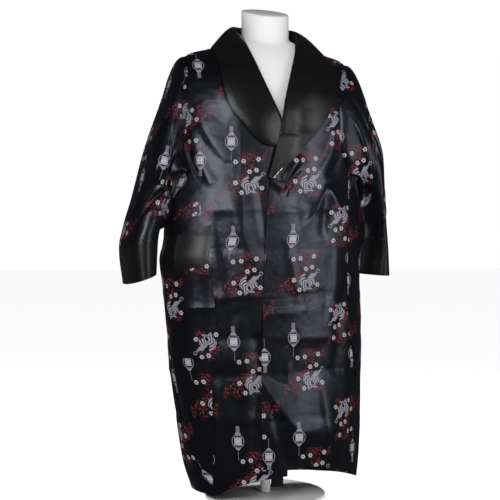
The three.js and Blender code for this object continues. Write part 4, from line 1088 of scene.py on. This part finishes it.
def add_weave(tree, shader, wave_scale, wave_height, grain_height):
    """Soft waves of the silk and the grain of its weave, as relief."""
    place = tree.nodes.new("ShaderNodeUVMap")
    place.uv_map = "UVMap"
    relief = None
    for scale, height, detail in ((wave_scale, wave_height, 3), (GRAIN_SCALE, grain_height, 1)):
        noise = tree.nodes.new("ShaderNodeTexNoise")
        noise.inputs["Scale"].default_value = scale
        noise.inputs["Detail"].default_value = detail
        tree.links.new(place.outputs["UV"], noise.inputs["Vector"])
        bump = tree.nodes.new("ShaderNodeBump")
        bump.inputs["Distance"].default_value = height
        bump.inputs["Strength"].default_value = 1
        tree.links.new(noise.outputs["Fac"], bump.inputs["Height"])
        if relief is not None:
            tree.links.new(relief, bump.inputs["Normal"])
        relief = bump.outputs["Normal"]
    tree.links.new(relief, shader.inputs["Normal"])
    direction = tree.nodes.new("ShaderNodeTangent")
    direction.direction_type = "UV_MAP"
    direction.uv_map = "UVMap"
    tree.links.new(direction.outputs["Tangent"], shader.inputs["Tangent"])


def cloth_finish(name, color, gloss, weave, **sockets):
    made = material(
        name, color, SILK_ROUGHNESS, Specular_IOR_Level=gloss, Anisotropic=ANISOTROPY,
        Sheen_Weight=SHEEN, Sheen_Roughness=SHEEN_ROUGHNESS, **sockets,
    )
    add_weave(made.node_tree, made.node_tree.nodes["Principled BSDF"], *weave)
    return made


def brocade_material():
    made = cloth_finish(
        "brocade_silk", SILK_BLACK, SILK_GLOSS, SILK_WEAVE, Specular_Tint=GLOSS_TINT, Sheen_Tint=SHEEN_TINT
    )
    tree = made.node_tree
    shader = tree.nodes["Principled BSDF"]
    lantern, bird, flower, twig = print_graph(tree)
    threads = ((TWIG_RED, twig), (BIRD_GREY, bird), (LANTERN_GREY, lantern), (FLOWER_WHITE, flower))
    color = SILK_BLACK
    for thread, share in threads:
        color = tinted(tree, color, thread, share)
    tree.links.new(color, shader.inputs["Base Color"])
    figure = lantern.high(bird).high(flower).high(twig)
    rough = figure * FIGURE_ROUGHNESS + SILK_ROUGHNESS
    tree.links.new(rough.socket, shader.inputs["Roughness"])
    return made


def satin_material():
    return cloth_finish("plain_satin", SATIN_BLACK, SATIN_GLOSS, SATIN_WEAVE)


def put_light(name, place, target, size, energy):
    data = bpy.data.lights.new(name, "AREA")
    data.shape = "RECTANGLE"
    data.size, data.size_y = size
    data.energy = energy
    lamp = bpy.data.objects.new(name, data)
    lamp.location = place
    aim = np.array(target, float) - np.array(place, float)
    lamp.rotation_euler = (
        math.atan2(math.hypot(aim[0], aim[1]), -aim[2]), 0, math.atan2(aim[1], aim[0]) - math.pi / 2
    )
    bpy.context.scene.collection.objects.link(lamp)
    return lamp


def put_lights():
    for name, (place, target, size, energy) in LIGHTS.items():
        lamp = put_light(name, place, target, size, energy)
        lamp.visible_glossy = name != "fill"


def set_camera():
    data = bpy.data.cameras.new("camera")
    data.sensor_width = 36
    data.lens = CAMERA_LENS
    camera = bpy.data.objects.new("camera", data)
    yaw = math.radians(CAMERA_YAW)
    camera.location = (
        -CAMERA_RANGE * math.sin(yaw) - AXIS_OFFSET * math.cos(yaw),
        -CAMERA_RANGE * math.cos(yaw) + AXIS_OFFSET * math.sin(yaw),
        CAMERA_HEIGHT,
    )
    camera.rotation_euler = (math.pi / 2, 0, -yaw)
    bpy.context.scene.collection.objects.link(camera)
    bpy.context.scene.camera = camera


def set_stage():
    floor_material = material("floor", (0.4, 0.4, 0.4), 0.9, Specular_IOR_Level=0.0)
    shader = floor_material.node_tree.nodes["Principled BSDF"]
    shader.inputs["Emission Color"].default_value = (1, 1, 1, 1)
    shader.inputs["Emission Strength"].default_value = FLOOR_GLOW
    corners = ((-1, -1), (1, -1), (1, 1), (-1, 1))
    points = [(a * FLOOR_HALF, b * FLOOR_HALF, FLOOR_Z) for a, b in corners]
    floor = mesh_of("floor", points, [(0, 1, 2, 3)])
    floor.data.materials.append(floor_material)
    floor.visible_glossy = False
    world = bpy.data.worlds.new("studio")
    bpy.context.scene.world = world
    world.use_nodes = True
    tree = world.node_tree
    ray = tree.nodes.new("ShaderNodeLightPath")
    level = tree.nodes.new("ShaderNodeMapRange")
    level.inputs["To Min"].default_value = ROOM_LIGHT
    level.inputs["To Max"].default_value = 1.0
    tree.links.new(ray.outputs["Is Camera Ray"], level.inputs["Value"])
    tree.links.new(level.outputs["Result"], tree.nodes["Background"].inputs["Strength"])
    tree.nodes["Background"].inputs["Color"].default_value = (1, 1, 1, 1)
    bpy.context.scene.view_settings.view_transform = "Standard"


def finish_piece(piece, node, finish):
    piece.data.materials.append(finish)
    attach(piece, "root")
    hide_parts(node)


def dress_cloth(finishes):
    for node, (grid, spots, inward, closing) in build_cloth().items():
        slot = "satin" if node.startswith(SATIN_NODES) else "brocade"
        start = np.array(CUT_FROM.get(node, (0, 0)))
        if closing is None:
            seam = node.startswith(("front", "back"))
            grid = drawn_back(grid, first=seam, last=node == "back", top=node != "pocket")
        else:
            closing = closing + start
        piece = shell(f"{node}_cloth", grid, spots + start, inward, closing)
        finish_piece(piece, node, finishes[slot])
        # Painted highlight: white dashes on the edge of the left lapel.
        highlight_dashes = painted_highlight_dashes(grid, inward) if node == "collar_left" else []
        for highlight_dash in highlight_dashes:
            highlight_dash.data.materials.append(finishes["thread"])
            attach(highlight_dash, "root")


def dress_form(finishes):
    finish_piece(turned_body("form_skin", *form_rings()), "form_torso", finishes["form"])
    inner = POLE_RADIUS - POLE_EDGE
    pole = (
        (inner, POLE_FOOT_Z), (POLE_RADIUS, POLE_FOOT_Z + 1.2), (POLE_RADIUS, POLE_TOP_Z - 0.7),
        (inner, POLE_TOP_Z),
    )
    finish_piece(lathe("pole_tube", pole, 48), "form_pole", finishes["stand"])
    rim = [(BASE_RADIUS - 1, 0.0), (BASE_RADIUS, 1.0), (BASE_RADIUS, 5.0)]
    for t in np.linspace(0.3, math.pi / 2, 6):
        rim.append((BASE_RADIUS - BASE_ROUND + BASE_ROUND * math.cos(t), 5 + BASE_ROUND * math.sin(t)))
    plate = lathe("base_plate", rim + [(60, BASE_HEIGHT), (20, BASE_HEIGHT)], 128)
    finish_piece(plate, "form_base", finishes["stand"])


def main():
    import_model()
    finishes = {"brocade": brocade_material(), "satin": satin_material()}
    for slot, (name, color, roughness, gloss) in PLAIN.items():
        finishes[slot] = material(name, color, roughness, Specular_IOR_Level=gloss)
    dress_cloth(finishes)
    dress_form(finishes)
    set_stage()
    put_lights()
    set_camera()


main()
